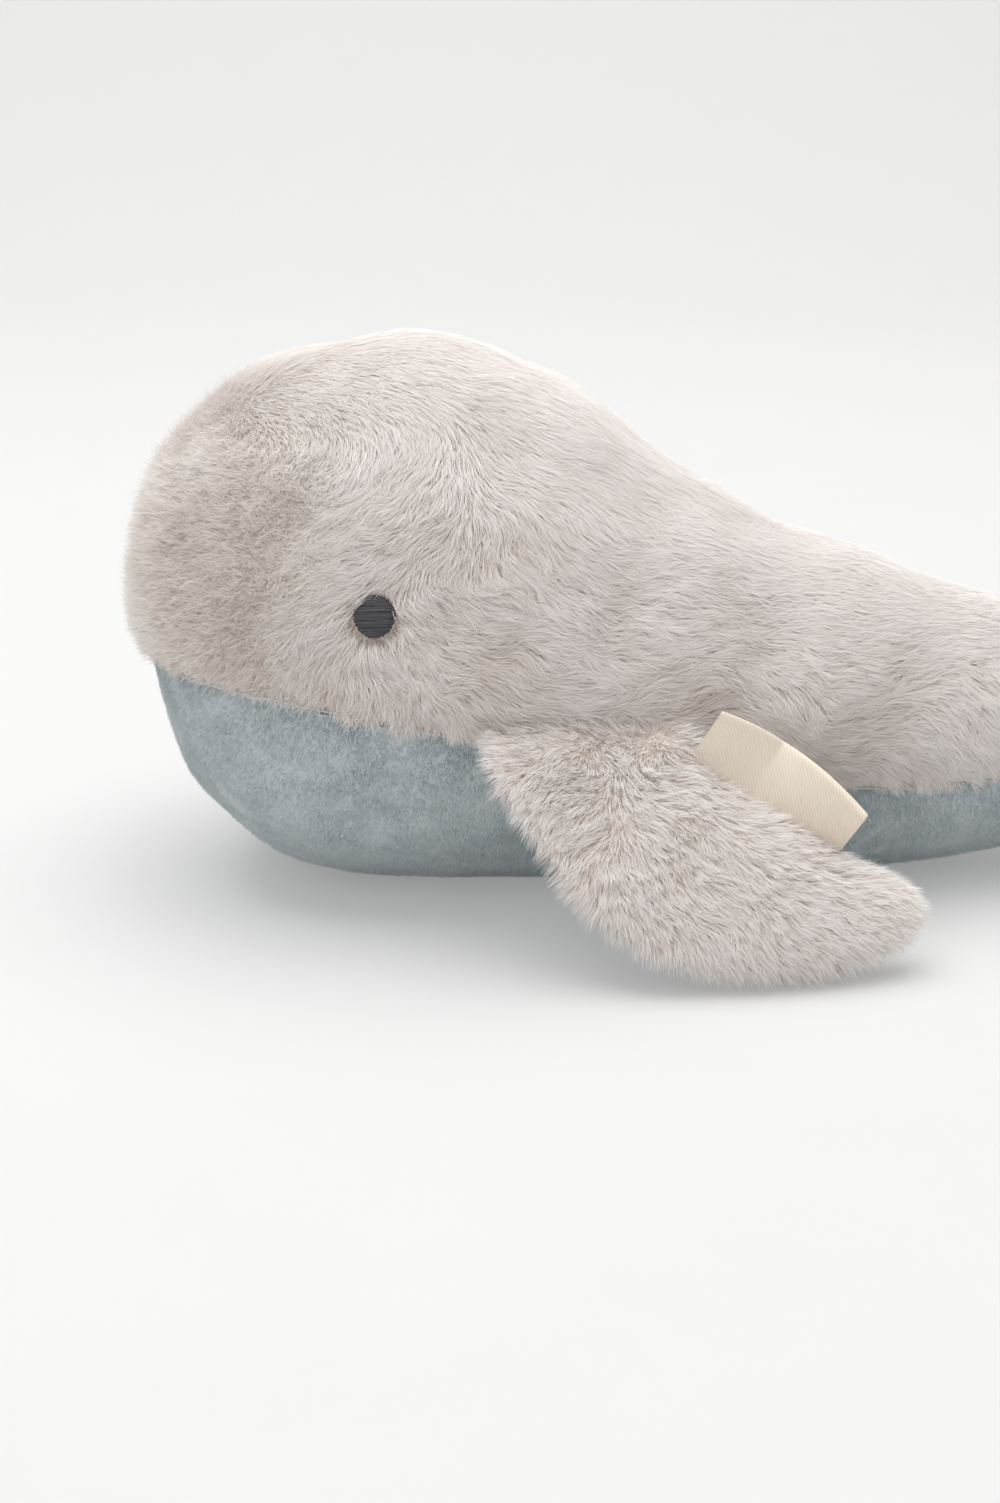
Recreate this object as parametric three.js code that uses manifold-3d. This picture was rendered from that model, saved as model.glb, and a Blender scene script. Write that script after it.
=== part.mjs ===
// Plush whale: a stuffed body sewn from two long-pile back panels and a short-pile belly panel,
// with a pair of stuffed flippers, a stuffed tail fluke, two stitched eyes and a folded ribbon label.
// Millimetres. +X runs from nose to tail, +Z is up and the whale's left side faces -Y.
// The origin is the middle of the flat patch that the belly rests on.
import * as THREE from 'three';
import { mergeVertices } from 'three/addons/utils/BufferGeometryUtils.js';
import Module from 'manifold-3d';

const wasm = await Module();
wasm.setup();

// The body as sewn, without its pile
const bodyLength = 302; // nose to the tail hinge
const bodyHalfWidth = 68;
const bodyHeight = 147;
const noseToRest = 100; // nose to the middle of the rest patch
const restCut = 0.5; // how far the belly is pressed flat where it stands

// Fabrics
const furPile = 6; // long-pile cloth on the back, backing and pile together
const minkyPile = 2; // short-pile cloth on the belly
const flipperPile = 5; // long-pile cloth on the flippers and the fluke
const seat = 0.3; // clearance between a piece and what it lies on
const seamGap = 1.4; // the valley where two panels are turned in and sewn
const threadRadius = 0.35;
const swellDepth = 2.6; // the long pile lies in low swells: crest to hollow
const swellSpacing = 36; // and crest to crest, where they are closest

// Eyes: satin stitch over a round of stabiliser
const eyeHalfWidth = 5.2;
const eyeHalfHeight = 5.3;
const eyeLoft = 1.6; // thickness of the stitching
const backingRadius = 9.5;
const backingThickness = 0.5;
const clothBase = 0.8; // woven base of the long-pile cloth, between backing and stitches

// Flippers
const flipperSpan = 55; // root to the outermost edge
const flipperReach = 82; // root middle to the swept-back tip
const flipperHalfThickness = 7.5;
const flipperRootRadius = 7; // round edge that turns on the root seam
const flipperTouch = 0.2; // height of its lowest point over the ground

// Fluke
const flukeHalfSpan = 62;
const flukeChord = 62;
const flukeHalfThickness = 9;
const flukeTilt = THREE.MathUtils.degToRad(16);
const tailEndPile = 2.3; // pile left where the tail is gathered into the fluke
const tailRelief = THREE.MathUtils.degToRad(28); // the longer pile ends on this slant, for the fluke to turn

// Label: a ribbon folded once, its cut ends in the flipper's rear seam
const labelHeight = 18.5;
const labelCloth = 0.5;
const labelLoop = 1.3; // inner width of the loop at the fold
const labelShift = 2.5; // how far it runs on past the end of the flipper's root
const labelLeanInner = THREE.MathUtils.degToRad(50); // from the flipper's plane, at the body end
const labelLeanCrease = THREE.MathUtils.degToRad(20);
const labelLeanOuter = THREE.MathUtils.degToRad(64); // and at the tip end

const overrun = 5; // how far a cutting solid runs past what it cuts

// Mesh counts
const bodyRingCount = 32;
const bodyRingPoints = 34;
const pileRingCount = 46; // the outer face of the long pile, fine enough for its swells
const pileRingPoints = 48;
const liningRingCount = 22; // the filling, and the inner face of the cloth round it
const liningRingPoints = 22;
const capSteps = 4;
const flipperRingCount = 12;
const flipperRingPoints = 18;
const flukeRingCount = 19;
const flukeRingPoints = 16;
const seamSteps = 42;
const threadSteps = 44;
const threadSides = 5;
const labelSteps = 10;
const labelArcSteps = 4;
const halvings = 40; // steps of a search by halves

// Along the body: place, half width, top, bottom and the height of the widest line between them
const bodyStationShares = [
  [0, 0, 0.52, 0.52, 0.42],
  [0.0065, 0.27, 0.68, 0.4, 0.42],
  [0.026, 0.48, 0.785, 0.275, 0.42],
  [0.059, 0.67, 0.87, 0.15, 0.42],
  [0.111, 0.84, 0.947, 0.055, 0.42],
  [0.19, 0.96, 0.994, 0.008, 0.42],
  [0.275, 1, 1, 0, 0.42],
  [0.36, 0.975, 0.945, 0, 0.42],
  [0.457, 0.89, 0.805, 0, 0.43],
  [0.555, 0.765, 0.68, 0, 0.44],
  [0.654, 0.63, 0.594, 0.003, 0.45],
  [0.752, 0.5, 0.522, 0.018, 0.46],
  [0.837, 0.395, 0.465, 0.05, 0.47],
  [0.922, 0.295, 0.42, 0.105, 0.49],
  [1, 0.22, 0.394, 0.175, 0.5],
];
const roundnessShare = 2.2; // exponent of the body's cross-section
// Waves that add up to the swells: the way each runs, over the spacing, and where in its cycle it starts
const swellWaveShares = [
  [0.8, 0, 0.45, 0.1],
  [0.55, 0.3, -0.7, 0.45],
  [-0.15, 0.85, 0.6, 0.7],
  [0.95, -0.35, 0.1, 0.25],
];
// The seam between back and belly: place and height
const seamStationShares = [
  [-0.1, 0.455],
  [0.09, 0.45],
  [0.18, 0.432],
  [0.28, 0.396],
  [0.34, 0.366],
  [0.438, 0.322],
  [0.536, 0.281],
  [0.654, 0.236],
  [0.752, 0.224],
  [0.837, 0.238],
  [0.922, 0.262],
  [1, 0.285],
  [1.2, 0.285],
];
const slopeStepShare = 0.001; // of the body's length, over which a slope is measured
const chinShare = 0.25; // the side seam crosses the middle plane ahead of this share of the length
const eyeAlongShare = 0.2235;
const eyeHeightShare = 0.61;
// Where the flipper's root begins and ends: place and height
const rootEndShares = [
  [0.325, 0.35],
  [0.505, 0.335],
];
const rootPastShare = 0.25; // how far the pile runs on past each end, of the root's length

// Flipper outline, as shares of its reach and span, from the root to the tip
const flipperLeadingShares = [
  [-0.325, 0],
  [-0.277, 0.14],
  [-0.185, 0.355],
  [-0.075, 0.61],
  [0.072, 0.825],
  [0.272, 0.96],
  [0.506, 1],
  [0.723, 0.975],
  [0.91, 0.88],
  [1, 0.735],
];
const flipperTrailingShares = [
  [0.325, 0],
  [0.398, 0.088],
  [0.494, 0.193],
  [0.592, 0.296],
  [0.694, 0.4],
  [0.785, 0.483],
  [0.876, 0.555],
  [0.95, 0.615],
  [0.995, 0.67],
  [1, 0.735],
];
const ringSpreadShare = 1.5; // rings crowd towards the tip by this power
const labelEndShares = [0, 0.56]; // along the trailing edge
const labelCreaseShare = 0.4; // along the label
const flipperThicknessShares = [0.5, 0.66, 0.85, 0.97, 1, 1, 0.95, 0.84, 0.62, 0];

// Fluke: place across, leading edge, trailing edge and thickness
const flukeStationShares = [
  [-1, 0.93, 0.93, 0],
  [-0.97, 0.86, 1, 0.32],
  [-0.86, 0.7, 1.03, 0.55],
  [-0.68, 0.48, 1.01, 0.72],
  [-0.46, 0.26, 0.94, 0.86],
  [-0.28, 0.06, 0.84, 0.95],
  [0, 0, 0.7, 1],
  [0.28, 0.06, 0.84, 0.95],
  [0.46, 0.26, 0.94, 0.86],
  [0.68, 0.48, 1.01, 0.72],
  [0.86, 0.7, 1.03, 0.55],
  [0.97, 0.86, 1, 0.32],
  [1, 0.93, 0.93, 0],
];

const furColour = 0xcfc5be;
const minkyColour = 0x9fb0b8;
const fillingColour = 0xf4f2ee;
const eyeColour = 0x2b2b2f;
const labelColour = 0xe9dcc3;
const backingColour = 0xe2e2e0;

const noseX = -noseToRest;
const hingeX = noseX + bodyLength;
const floorLift = seat + minkyPile - restCut; // the sewn belly over the ground
const cutReach = bodyLength + bodyHeight; // larger than the whole body

function material(color, roughness = 0.95) {
  return new THREE.MeshStandardMaterial({ color, roughness, metalness: 0 });
}

// Solids

function solidOf(geometry) {
  const bare = geometry.clone();
  bare.deleteAttribute('normal');
  bare.deleteAttribute('uv');
  const merged = mergeVertices(bare);
  return new wasm.Manifold(new wasm.Mesh({
    numProp: 3,
    vertProperties: merged.attributes.position.array,
    triVerts: new Uint32Array(merged.index.array),
  }));
}

function geometryOf(solid) {
  const mesh = solid.getMesh();
  const places = new Float32Array(mesh.numVert * 3);
  for (let i = 0; i < mesh.numVert; i++) {
    places.set(mesh.vertProperties.subarray(i * mesh.numProp, i * mesh.numProp + 3), i * 3);
  }
  const geometry = new THREE.BufferGeometry();
  geometry.setAttribute('position', new THREE.BufferAttribute(places, 3));
  geometry.setIndex(new THREE.BufferAttribute(new Uint32Array(mesh.triVerts), 1));
  geometry.computeVertexNormals();
  return geometry;
}

// Closed skin over rings of points; an end that is a single point is a pole, any other end is capped.
// Between two rings the skin is cut into triangles on one diagonal, or on the other where turned(j) holds.
function loft(rings, turned = () => false) {
  const places = [];
  const faces = [];
  const starts = rings.map((ring) => {
    const start = places.length / 3;
    ring.forEach((p) => places.push(p.x, p.y, p.z));
    return start;
  });
  for (let i = 0; i + 1 < rings.length; i++) {
    const [a, b] = [rings[i], rings[i + 1]];
    const count = Math.max(a.length, b.length);
    for (let j = 0; j < count; j++) {
      const next = (j + 1) % count;
      const [a0, a1] = [starts[i] + j % a.length, starts[i] + next % a.length];
      const [b0, b1] = [starts[i + 1] + j % b.length, starts[i + 1] + next % b.length];
      if (a.length > 1) faces.push(a0, a1, turned(j) ? b1 : b0);
      if (b.length > 1) faces.push(turned(j) ? a0 : a1, b1, b0);
    }
  }
  [[rings[0], starts[0], false], [rings.at(-1), starts.at(-1), true]].forEach(([ring, start, last]) => {
    if (ring.length === 1) return;
    const middle = ring.reduce((sum, p) => sum.add(p), new THREE.Vector3()).divideScalar(ring.length);
    const hub = places.length / 3;
    places.push(middle.x, middle.y, middle.z);
    ring.forEach((_, j) => {
      const [a, b] = [start + j, start + (j + 1) % ring.length];
      faces.push(hub, ...(last ? [a, b] : [b, a]));
    });
  });
  const geometry = new THREE.BufferGeometry();
  geometry.setAttribute('position', new THREE.Float32BufferAttribute(places, 3));
  geometry.setIndex(faces);
  return geometry;
}

// The same skin moved outwards by a distance, less what it is sunk at each place
function swollen(geometry, distance, sunkAt = () => 0) {
  const grown = geometry.clone();
  grown.computeVertexNormals();
  const { position, normal } = grown.attributes;
  for (let i = 0; i < position.count; i++) {
    const place = new THREE.Vector3().fromBufferAttribute(position, i);
    const way = new THREE.Vector3().fromBufferAttribute(normal, i);
    place.addScaledVector(way, distance - sunkAt(place));
    position.setXYZ(i, place.x, place.y, place.z);
  }
  return grown;
}

// The main body of a cut, without the crumbs that coarse facets leave
function largest(solid) {
  return solid.decompose().reduce((a, b) => (a.volume() > b.volume() ? a : b));
}

function boxSolid(low, high) {
  const size = high.clone().sub(low);
  const middle = high.clone().add(low).multiplyScalar(1 / 2);
  const box = new THREE.BoxGeometry(size.x, size.y, size.z);
  box.translate(middle.x, middle.y, middle.z);
  return solidOf(box);
}

// Tables read as smooth curves

function curvesOf(rows) {
  return rows[0].slice(1).map((_, column) => new THREE.SplineCurve(
    rows.map((row) => new THREE.Vector2(row[0], row[column + 1])),
  ));
}

// The curve's parameter where its x reaches a value
function parameterAt(curve, along) {
  let [low, high] = [0, 1];
  for (let i = 0; i < halvings; i++) {
    const middle = (low + high) / 2;
    if (curve.getPoint(middle).x < along) low = middle;
    else high = middle;
  }
  return (low + high) / 2;
}

const [widthCurve, topCurve, bottomCurve, waistCurve] = curvesOf(bodyStationShares);
const [seamCurve] = curvesOf(seamStationShares);

function sectionFrom(t) {
  const at = widthCurve.getPoint(t);
  const top = floorLift + bodyHeight * topCurve.getPoint(t).y;
  const bottom = floorLift + bodyHeight * bottomCurve.getPoint(t).y;
  const waist = bottom + (top - bottom) * waistCurve.getPoint(t).y;
  return { x: noseX + bodyLength * at.x, halfWidth: Math.max(0, bodyHalfWidth * at.y), top, bottom, waist };
}

function sectionAt(x) {
  return sectionFrom(parameterAt(widthCurve, (x - noseX) / bodyLength));
}

function seamHeight(x) {
  const along = (x - noseX) / bodyLength;
  return floorLift + bodyHeight * seamCurve.getPoint(parameterAt(seamCurve, along)).y;
}

function bulge(value) {
  return Math.sign(value) * Math.abs(value) ** (2 / roundnessShare);
}

function sectionPoint(section, angle) {
  const [across, up] = [bulge(Math.cos(angle)), bulge(Math.sin(angle))];
  const rise = up > 0 ? section.top - section.waist : section.waist - section.bottom;
  return new THREE.Vector3(section.x, section.halfWidth * across, section.waist + rise * up);
}

// Half width of the body at a height
function sideAt(x, z) {
  const section = sectionAt(x);
  const rise = z > section.waist ? section.top - section.waist : section.waist - section.bottom;
  const share = Math.min(1, Math.abs(z - section.waist) / rise);
  return section.halfWidth * (1 - share ** roundnessShare) ** (1 / roundnessShare);
}

const tailSection = sectionFrom(1);
const hingeZ = tailSection.waist;
const tailHalfHeight = (tailSection.top - tailSection.bottom) / 2;

// The sewn body: rings from the nose pole to the rounded end that the fluke turns on
function bodySkin(ringCount, ringPoints) {
  const rings = [[sectionPoint(sectionFrom(0), 0)]];
  const angles = Array.from({ length: ringPoints }, (_, j) => 2 * Math.PI * j / ringPoints);
  for (let i = 1; i <= ringCount; i++) {
    const section = sectionFrom(i / ringCount);
    rings.push(angles.map((angle) => sectionPoint(section, angle)));
  }
  for (let k = 1; k <= capSteps; k++) {
    const turn = Math.PI / 2 * k / capSteps;
    const shrink = Math.cos(turn);
    const section = {
      x: hingeX + tailHalfHeight * Math.sin(turn),
      halfWidth: tailSection.halfWidth * shrink,
      top: hingeZ + tailHalfHeight * shrink,
      bottom: hingeZ - tailHalfHeight * shrink,
      waist: hingeZ,
    };
    if (k < capSteps) rings.push(angles.map((angle) => sectionPoint(section, angle)));
    else rings.push([new THREE.Vector3(section.x, 0, hingeZ)]);
  }
  return loft(rings);
}

// An ellipsoid of revolution about the fluke's hinge line, in a frame that has its origin there
function tailKnuckle(extra) {
  const knuckle = new THREE.SphereGeometry(1, bodyRingPoints, bodyRingPoints / 2);
  const radius = tailHalfHeight + tailEndPile + extra;
  knuckle.scale(radius, tailSection.halfWidth + furPile + extra, radius);
  return knuckle;
}

const bodyMesh = bodySkin(bodyRingCount, bodyRingPoints);
const bodyLayers = new Map();
function bodyLayer(distance) {
  if (!bodyLayers.has(distance)) bodyLayers.set(distance, solidOf(swollen(bodyMesh, distance)));
  return bodyLayers.get(distance);
}

// How deep the pile is sunk at a place, from 0 on a crest to the whole depth in a hollow
function swellAt(place) {
  const sum = swellWaveShares.reduce((total, [x, y, z, start]) => {
    const cycles = place.dot(new THREE.Vector3(x, y, z)) / swellSpacing + start;
    return total + Math.sin(2 * Math.PI * cycles);
  }, 0);
  return swellDepth * (1 - sum / swellWaveShares.length) / 2;
}

const liningMesh = bodySkin(liningRingCount, liningRingPoints);
const clothInside = solidOf(swollen(liningMesh, seat));
const pileOutside = solidOf(swollen(bodySkin(pileRingCount, pileRingPoints), seat + furPile, swellAt));

// All that lies above the side seam, moved up or down by a distance
function aboveSeam(shift) {
  const [from, to] = [noseX - furPile - overrun, hingeX + tailHalfHeight + furPile + overrun];
  const outline = new THREE.Shape();
  outline.moveTo(from, cutReach);
  for (let i = 0; i <= seamSteps; i++) {
    const x = from + (to - from) * i / seamSteps;
    outline.lineTo(x, seamHeight(x) + shift);
  }
  outline.lineTo(to, cutReach);
  return upright(outline);
}

// All that lies ahead of the hinge, between two slanted planes through its line
function ahead() {
  const outline = new THREE.Shape();
  const lean = cutReach * Math.tan(tailRelief);
  outline.moveTo(hingeX, hingeZ);
  outline.lineTo(hingeX - lean, hingeZ + cutReach);
  outline.lineTo(hingeX - lean - cutReach, hingeZ + cutReach);
  outline.lineTo(hingeX - lean - cutReach, hingeZ - cutReach);
  outline.lineTo(hingeX - lean, hingeZ - cutReach);
  return upright(outline);
}

// A side-view outline made solid across the whole part
function upright(outline) {
  const solid = new THREE.ExtrudeGeometry(outline, { depth: 2 * cutReach, bevelEnabled: false });
  solid.rotateX(Math.PI / 2);
  solid.translate(0, cutReach, 0);
  return solidOf(solid);
}

// What the tail keeps where it is gathered round the hinge
const tailKeep = ahead().add(solidOf(tailKnuckle(0).translate(hingeX, 0, hingeZ)));

const eyeX = noseX + bodyLength * eyeAlongShare;
const eyeZ = floorLift + bodyHeight * eyeHeightShare;

// An upright oval rod along Y that leaves the body's left side at the eye
function eyeRod(halfWidth, halfHeight) {
  const rod = new THREE.CylinderGeometry(1, 1, bodyHalfWidth + furPile + overrun, bodyRingPoints);
  rod.scale(halfWidth, 1, halfHeight);
  rod.translate(eyeX, -(bodyHalfWidth + furPile + overrun) / 2, eyeZ);
  return solidOf(rod);
}

const backingTop = 2 * seat + backingThickness;
const stitchFloor = backingTop + seat + clothBase; // the cloth that the stitches lie on
const stitchTop = stitchFloor + seat + eyeLoft;

function backPanel() {
  const cloth = pileOutside.subtract(clothInside);
  const half = boxSolid(
    new THREE.Vector3(-cutReach, -cutReach, -cutReach),
    new THREE.Vector3(cutReach, -seamGap / 2, cutReach),
  );
  const parting = eyeRod(eyeHalfWidth + seat, eyeHalfHeight + seat).subtract(bodyLayer(stitchFloor));
  const recess = eyeRod(backingRadius + seat, backingRadius + seat).intersect(bodyLayer(backingTop + seat));
  return cloth.intersect(aboveSeam(seamGap / 2)).intersect(half).intersect(tailKeep)
    .subtract(parting).subtract(recess);
}

function bellyPanel() {
  const cloth = bodyLayer(seat + minkyPile).subtract(clothInside);
  const ground = boxSolid(
    new THREE.Vector3(-cutReach, -cutReach, -cutReach),
    new THREE.Vector3(cutReach, cutReach, 0),
  );
  return cloth.subtract(aboveSeam(-seamGap / 2)).intersect(tailKeep).subtract(ground);
}

function eyeStitches() {
  const rod = eyeRod(eyeHalfWidth, eyeHalfHeight);
  return rod.intersect(bodyLayer(stitchTop)).subtract(bodyLayer(stitchFloor + seat));
}

function eyeBacking() {
  return eyeRod(backingRadius, backingRadius).intersect(bodyLayer(backingTop)).subtract(bodyLayer(2 * seat));
}

// Sewing thread: one line of stitches in the valley of a seam
function thread(points) {
  const section = new THREE.Shape();
  for (let i = 0; i < threadSides; i++) {
    const angle = 2 * Math.PI * i / threadSides;
    const [x, y] = [threadRadius * Math.cos(angle), threadRadius * Math.sin(angle)];
    if (i) section.lineTo(x, y);
    else section.moveTo(x, y);
  }
  section.closePath();
  const path = new THREE.CatmullRomCurve3(points);
  return new THREE.ExtrudeGeometry(section, { steps: threadSteps, extrudePath: path, bevelEnabled: false });
}

const threadDepth = seat + threadRadius + seat; // the thread's middle over the filling

// Where the side seam crosses the middle plane under the nose
function seamFrontX() {
  let [low, high] = [noseX, noseX + bodyLength * chinShare];
  for (let i = 0; i < halvings; i++) {
    const middle = (low + high) / 2;
    if (sectionAt(middle).bottom > seamHeight(middle)) low = middle;
    else high = middle;
  }
  return high;
}

// A point on the side seam, a distance outside the sewn body; share runs from the chin to the tail
function sideSeamPoint(share, distance) {
  const front = seamFrontX();
  const x = front + (hingeX - front) * share ** 2;
  const z = seamHeight(x);
  const step = bodyLength * slopeStepShare;
  const y = sideAt(x, z);
  const slope = (sideAt(x + step, z) - y) / step;
  const outward = new THREE.Vector2(-slope, 1).normalize();
  return new THREE.Vector3(x + outward.x * distance, -(y + outward.y * distance), z);
}

function sideThread() {
  const points = [];
  for (let i = 1; i <= threadSteps; i++) points.push(sideSeamPoint(i / threadSteps, threadDepth));
  return thread(points);
}

function dorsalThread() {
  const points = [];
  for (let i = 0; i <= threadSteps; i++) {
    const t = i / threadSteps;
    const section = sectionFrom(t);
    const [before, after] = [-slopeStepShare, slopeStepShare].map((step) => (
      sectionFrom(THREE.MathUtils.clamp(t + step, 0, 1))
    ));
    const way = new THREE.Vector2(before.top - after.top, after.x - before.x).normalize();
    points.push(new THREE.Vector3(section.x + way.x * threadDepth, 0, section.top + way.y * threadDepth));
  }
  return thread(points);
}

// Flippers, in a frame whose X is the root seam towards the tail and whose -Y points outwards

function flipperRings(ringCount, ringPoints) {
  const leading = new THREE.SplineCurve(flipperLeadingShares.map(([a, b]) => new THREE.Vector2(a, b)));
  const trailing = new THREE.SplineCurve(flipperTrailingShares.map(([a, b]) => new THREE.Vector2(a, b)));
  const thickness = new THREE.SplineCurve(flipperThicknessShares.map(
    (value, i) => new THREE.Vector2(i / (flipperThicknessShares.length - 1), value),
  ));
  const rings = [];
  for (let i = 0; i <= ringCount; i++) {
    const t = 1 - (1 - i / ringCount) ** ringSpreadShare;
    const [front, rear] = [leading.getPoint(t), trailing.getPoint(t)];
    const half = flipperHalfThickness * Math.max(0, thickness.getPoint(t).y);
    const size = new THREE.Vector2(flipperReach, -flipperSpan);
    const middle = front.clone().add(rear).multiplyScalar(1 / 2).multiply(size);
    const chord = rear.clone().sub(front).multiplyScalar(1 / 2).multiply(size);
    const ring = [];
    for (let j = 0; j < ringPoints; j++) {
      const angle = 2 * Math.PI * j / ringPoints;
      const across = Math.cos(angle);
      ring.push(new THREE.Vector3(
        middle.x + chord.x * across,
        middle.y + chord.y * across,
        half * Math.sin(angle),
      ));
    }
    rings.push(i < ringCount ? ring : [ring[0]]);
  }
  // the root runs on inwards, to be trimmed round the seam
  rings.unshift(rings[0].map((p) => new THREE.Vector3(p.x, p.y + flipperRootRadius + overrun, p.z)));
  return rings;
}

// What a flipper keeps at its root: everything outboard of the seam, and a round edge about it
function flipperKeep() {
  const outboard = boxSolid(
    new THREE.Vector3(-cutReach, -cutReach, -cutReach),
    new THREE.Vector3(cutReach, 0, cutReach),
  );
  const edge = new THREE.CylinderGeometry(flipperRootRadius, flipperRootRadius, cutReach, flipperRingPoints);
  edge.rotateZ(Math.PI / 2);
  return outboard.add(solidOf(edge));
}

function upperHalf(shift) {
  return boxSolid(
    new THREE.Vector3(-cutReach, -cutReach, shift),
    new THREE.Vector3(cutReach, cutReach, cutReach),
  );
}

function stuffedLimb(skin, keep) {
  const sewn = swollen(skin, seat);
  const inner = solidOf(sewn);
  const fur = solidOf(swollen(skin, seat + flipperPile));
  const minky = solidOf(swollen(skin, seat + minkyPile));
  return {
    top: keep(fur.subtract(inner).intersect(upperHalf(seat / 2))),
    bottom: keep(minky.subtract(inner).subtract(upperHalf(-seat / 2))),
    outline: keep(fur.intersect(upperHalf(0)).add(minky.subtract(upperHalf(0)))),
  };
}

function flipperSolids() {
  const skin = loft(flipperRings(flipperRingCount, flipperRingPoints));
  const round = flipperKeep();
  const solids = stuffedLimb(skin, (solid) => solid.intersect(round));
  solids.filling = solidOf(skin).intersect(round);
  const [loop, slot] = [labelOutline(labelCloth, 0), labelOutline(0, seat)];
  const label = loopSolid(labelRings(loop, 0), falling(loop));
  solids.label = label.subtract(solidOf(swollen(skin, 2 * seat)));
  solids.slit = facingOut(loft(labelRings(slot, seat), falling(slot)));
  return solids;
}

// The root seam's two ends on the left side, far enough out for the round edge to turn clear of the pile
function rootLine() {
  const ends = rootEndShares.map(([along, up]) => {
    const [x, z] = [noseX + bodyLength * along, floorLift + bodyHeight * up];
    return new THREE.Vector3(x, -sideAt(x, z), z);
  });
  const steps = bodyRingCount;
  let push = 0;
  for (let i = 0; i <= steps; i++) {
    const share = i / steps * (1 + 2 * rootPastShare) - rootPastShare;
    const at = ends[0].clone().lerp(ends[1], share);
    for (let k = -steps; k <= steps; k++) {
      const up = flipperRootRadius * k / steps;
      const out = Math.sqrt(flipperRootRadius ** 2 - up ** 2);
      const side = sideAt(at.x, at.z + up);
      const pile = furPile - swellAt(new THREE.Vector3(at.x, -side, at.z + up));
      push = Math.max(push, side + pile + 2 * seat + out + at.y);
    }
  }
  return ends.map((end) => end.setY(end.y - push));
}

const [rootFront, rootRear] = rootLine();
const rootMiddle = rootFront.clone().add(rootRear).multiplyScalar(1 / 2);
const flipper = flipperSolids();

// The flipper hangs from its root until its lowest point nearly meets the ground
function flipperFrame(droop) {
  const along = rootRear.clone().sub(rootFront).normalize();
  const level = new THREE.Vector3(0, 1, 0).addScaledVector(along, -along.y).normalize();
  const up = along.clone().cross(level);
  const frame = new THREE.Matrix4().makeBasis(along, level, up).setPosition(rootMiddle);
  return frame.multiply(new THREE.Matrix4().makeRotationX(droop));
}

function lowestPoint(geometry, frame) {
  const { position } = geometry.clone().applyMatrix4(frame).attributes;
  return new THREE.Box3().setFromBufferAttribute(position).min.z;
}

function restingDroop() {
  const outline = geometryOf(flipper.outline);
  let [low, high] = [0, Math.PI / 2];
  for (let i = 0; i < halvings; i++) {
    const middle = (low + high) / 2;
    if (lowestPoint(outline, flipperFrame(middle)) > flipperTouch) low = middle;
    else high = middle;
  }
  return low;
}

// Two layers of ribbon that part towards the fold, seen end on: rise over the seam, and depth
function labelOutline(cloth, clearance) {
  const [foot, fold] = [seat / 2 + labelCloth + clearance, labelLoop / 2 + labelCloth + clearance];
  const tip = labelHeight - labelLoop / 2 - labelCloth;
  const layer = (thinner) => {
    const points = [[-clearance, thinner - foot]];
    for (let k = 0; k <= labelArcSteps; k++) {
      const turn = Math.PI * (k / labelArcSteps - 1 / 2);
      points.push([tip + (fold - thinner) * Math.cos(turn), (fold - thinner) * Math.sin(turn)]);
    }
    return [...points, [-clearance, foot - thinner]];
  };
  return cloth ? [...layer(0), ...layer(cloth).reverse()] : layer(0);
}

// Whether an outline comes back down between a point and the next. Cutting those parts on the other diagonal
// keeps all the faces of the twisted ribbon parallel.
function falling(outline) {
  return (j) => outline[(j + 1) % outline.length][0] < outline[j][0];
}

// The ribbon stands on the flipper's rear edge, nearly in the flipper's plane
function labelRings(outline, extra) {
  const trailing = new THREE.SplineCurve(flipperTrailingShares.map(([a, b]) => new THREE.Vector2(a, b)));
  const size = new THREE.Vector2(flipperReach, -flipperSpan);
  const [inner, outer] = labelEndShares.map((share) => trailing.getPoint(share).multiply(size));
  const along = outer.clone().sub(inner).normalize();
  const away = new THREE.Vector2(-along.y, along.x); // from the rear edge towards the body
  inner.addScaledVector(along, -extra - labelShift).addScaledVector(away, 2 * seat);
  outer.addScaledVector(along, extra - labelShift).addScaledVector(away, 2 * seat);
  return Array.from({ length: labelSteps + 1 }, (_, i) => {
    const share = i / labelSteps;
    const lean = share < labelCreaseShare
      ? THREE.MathUtils.mapLinear(share, 0, labelCreaseShare, labelLeanInner, labelLeanCrease)
      : THREE.MathUtils.mapLinear(share, labelCreaseShare, 1, labelLeanCrease, labelLeanOuter);
    const foot = inner.clone().lerp(outer, share);
    return outline.map(([rise, depth]) => {
      const out = rise * Math.cos(lean) - depth * Math.sin(lean);
      const up = rise * Math.sin(lean) + depth * Math.cos(lean);
      return new THREE.Vector3(foot.x + away.x * out, foot.y + away.y * out, up);
    });
  });
}

function facingOut(geometry) {
  const solid = solidOf(geometry);
  return solid.volume() > 0 ? solid : solidOf(flipped(geometry));
}

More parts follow.
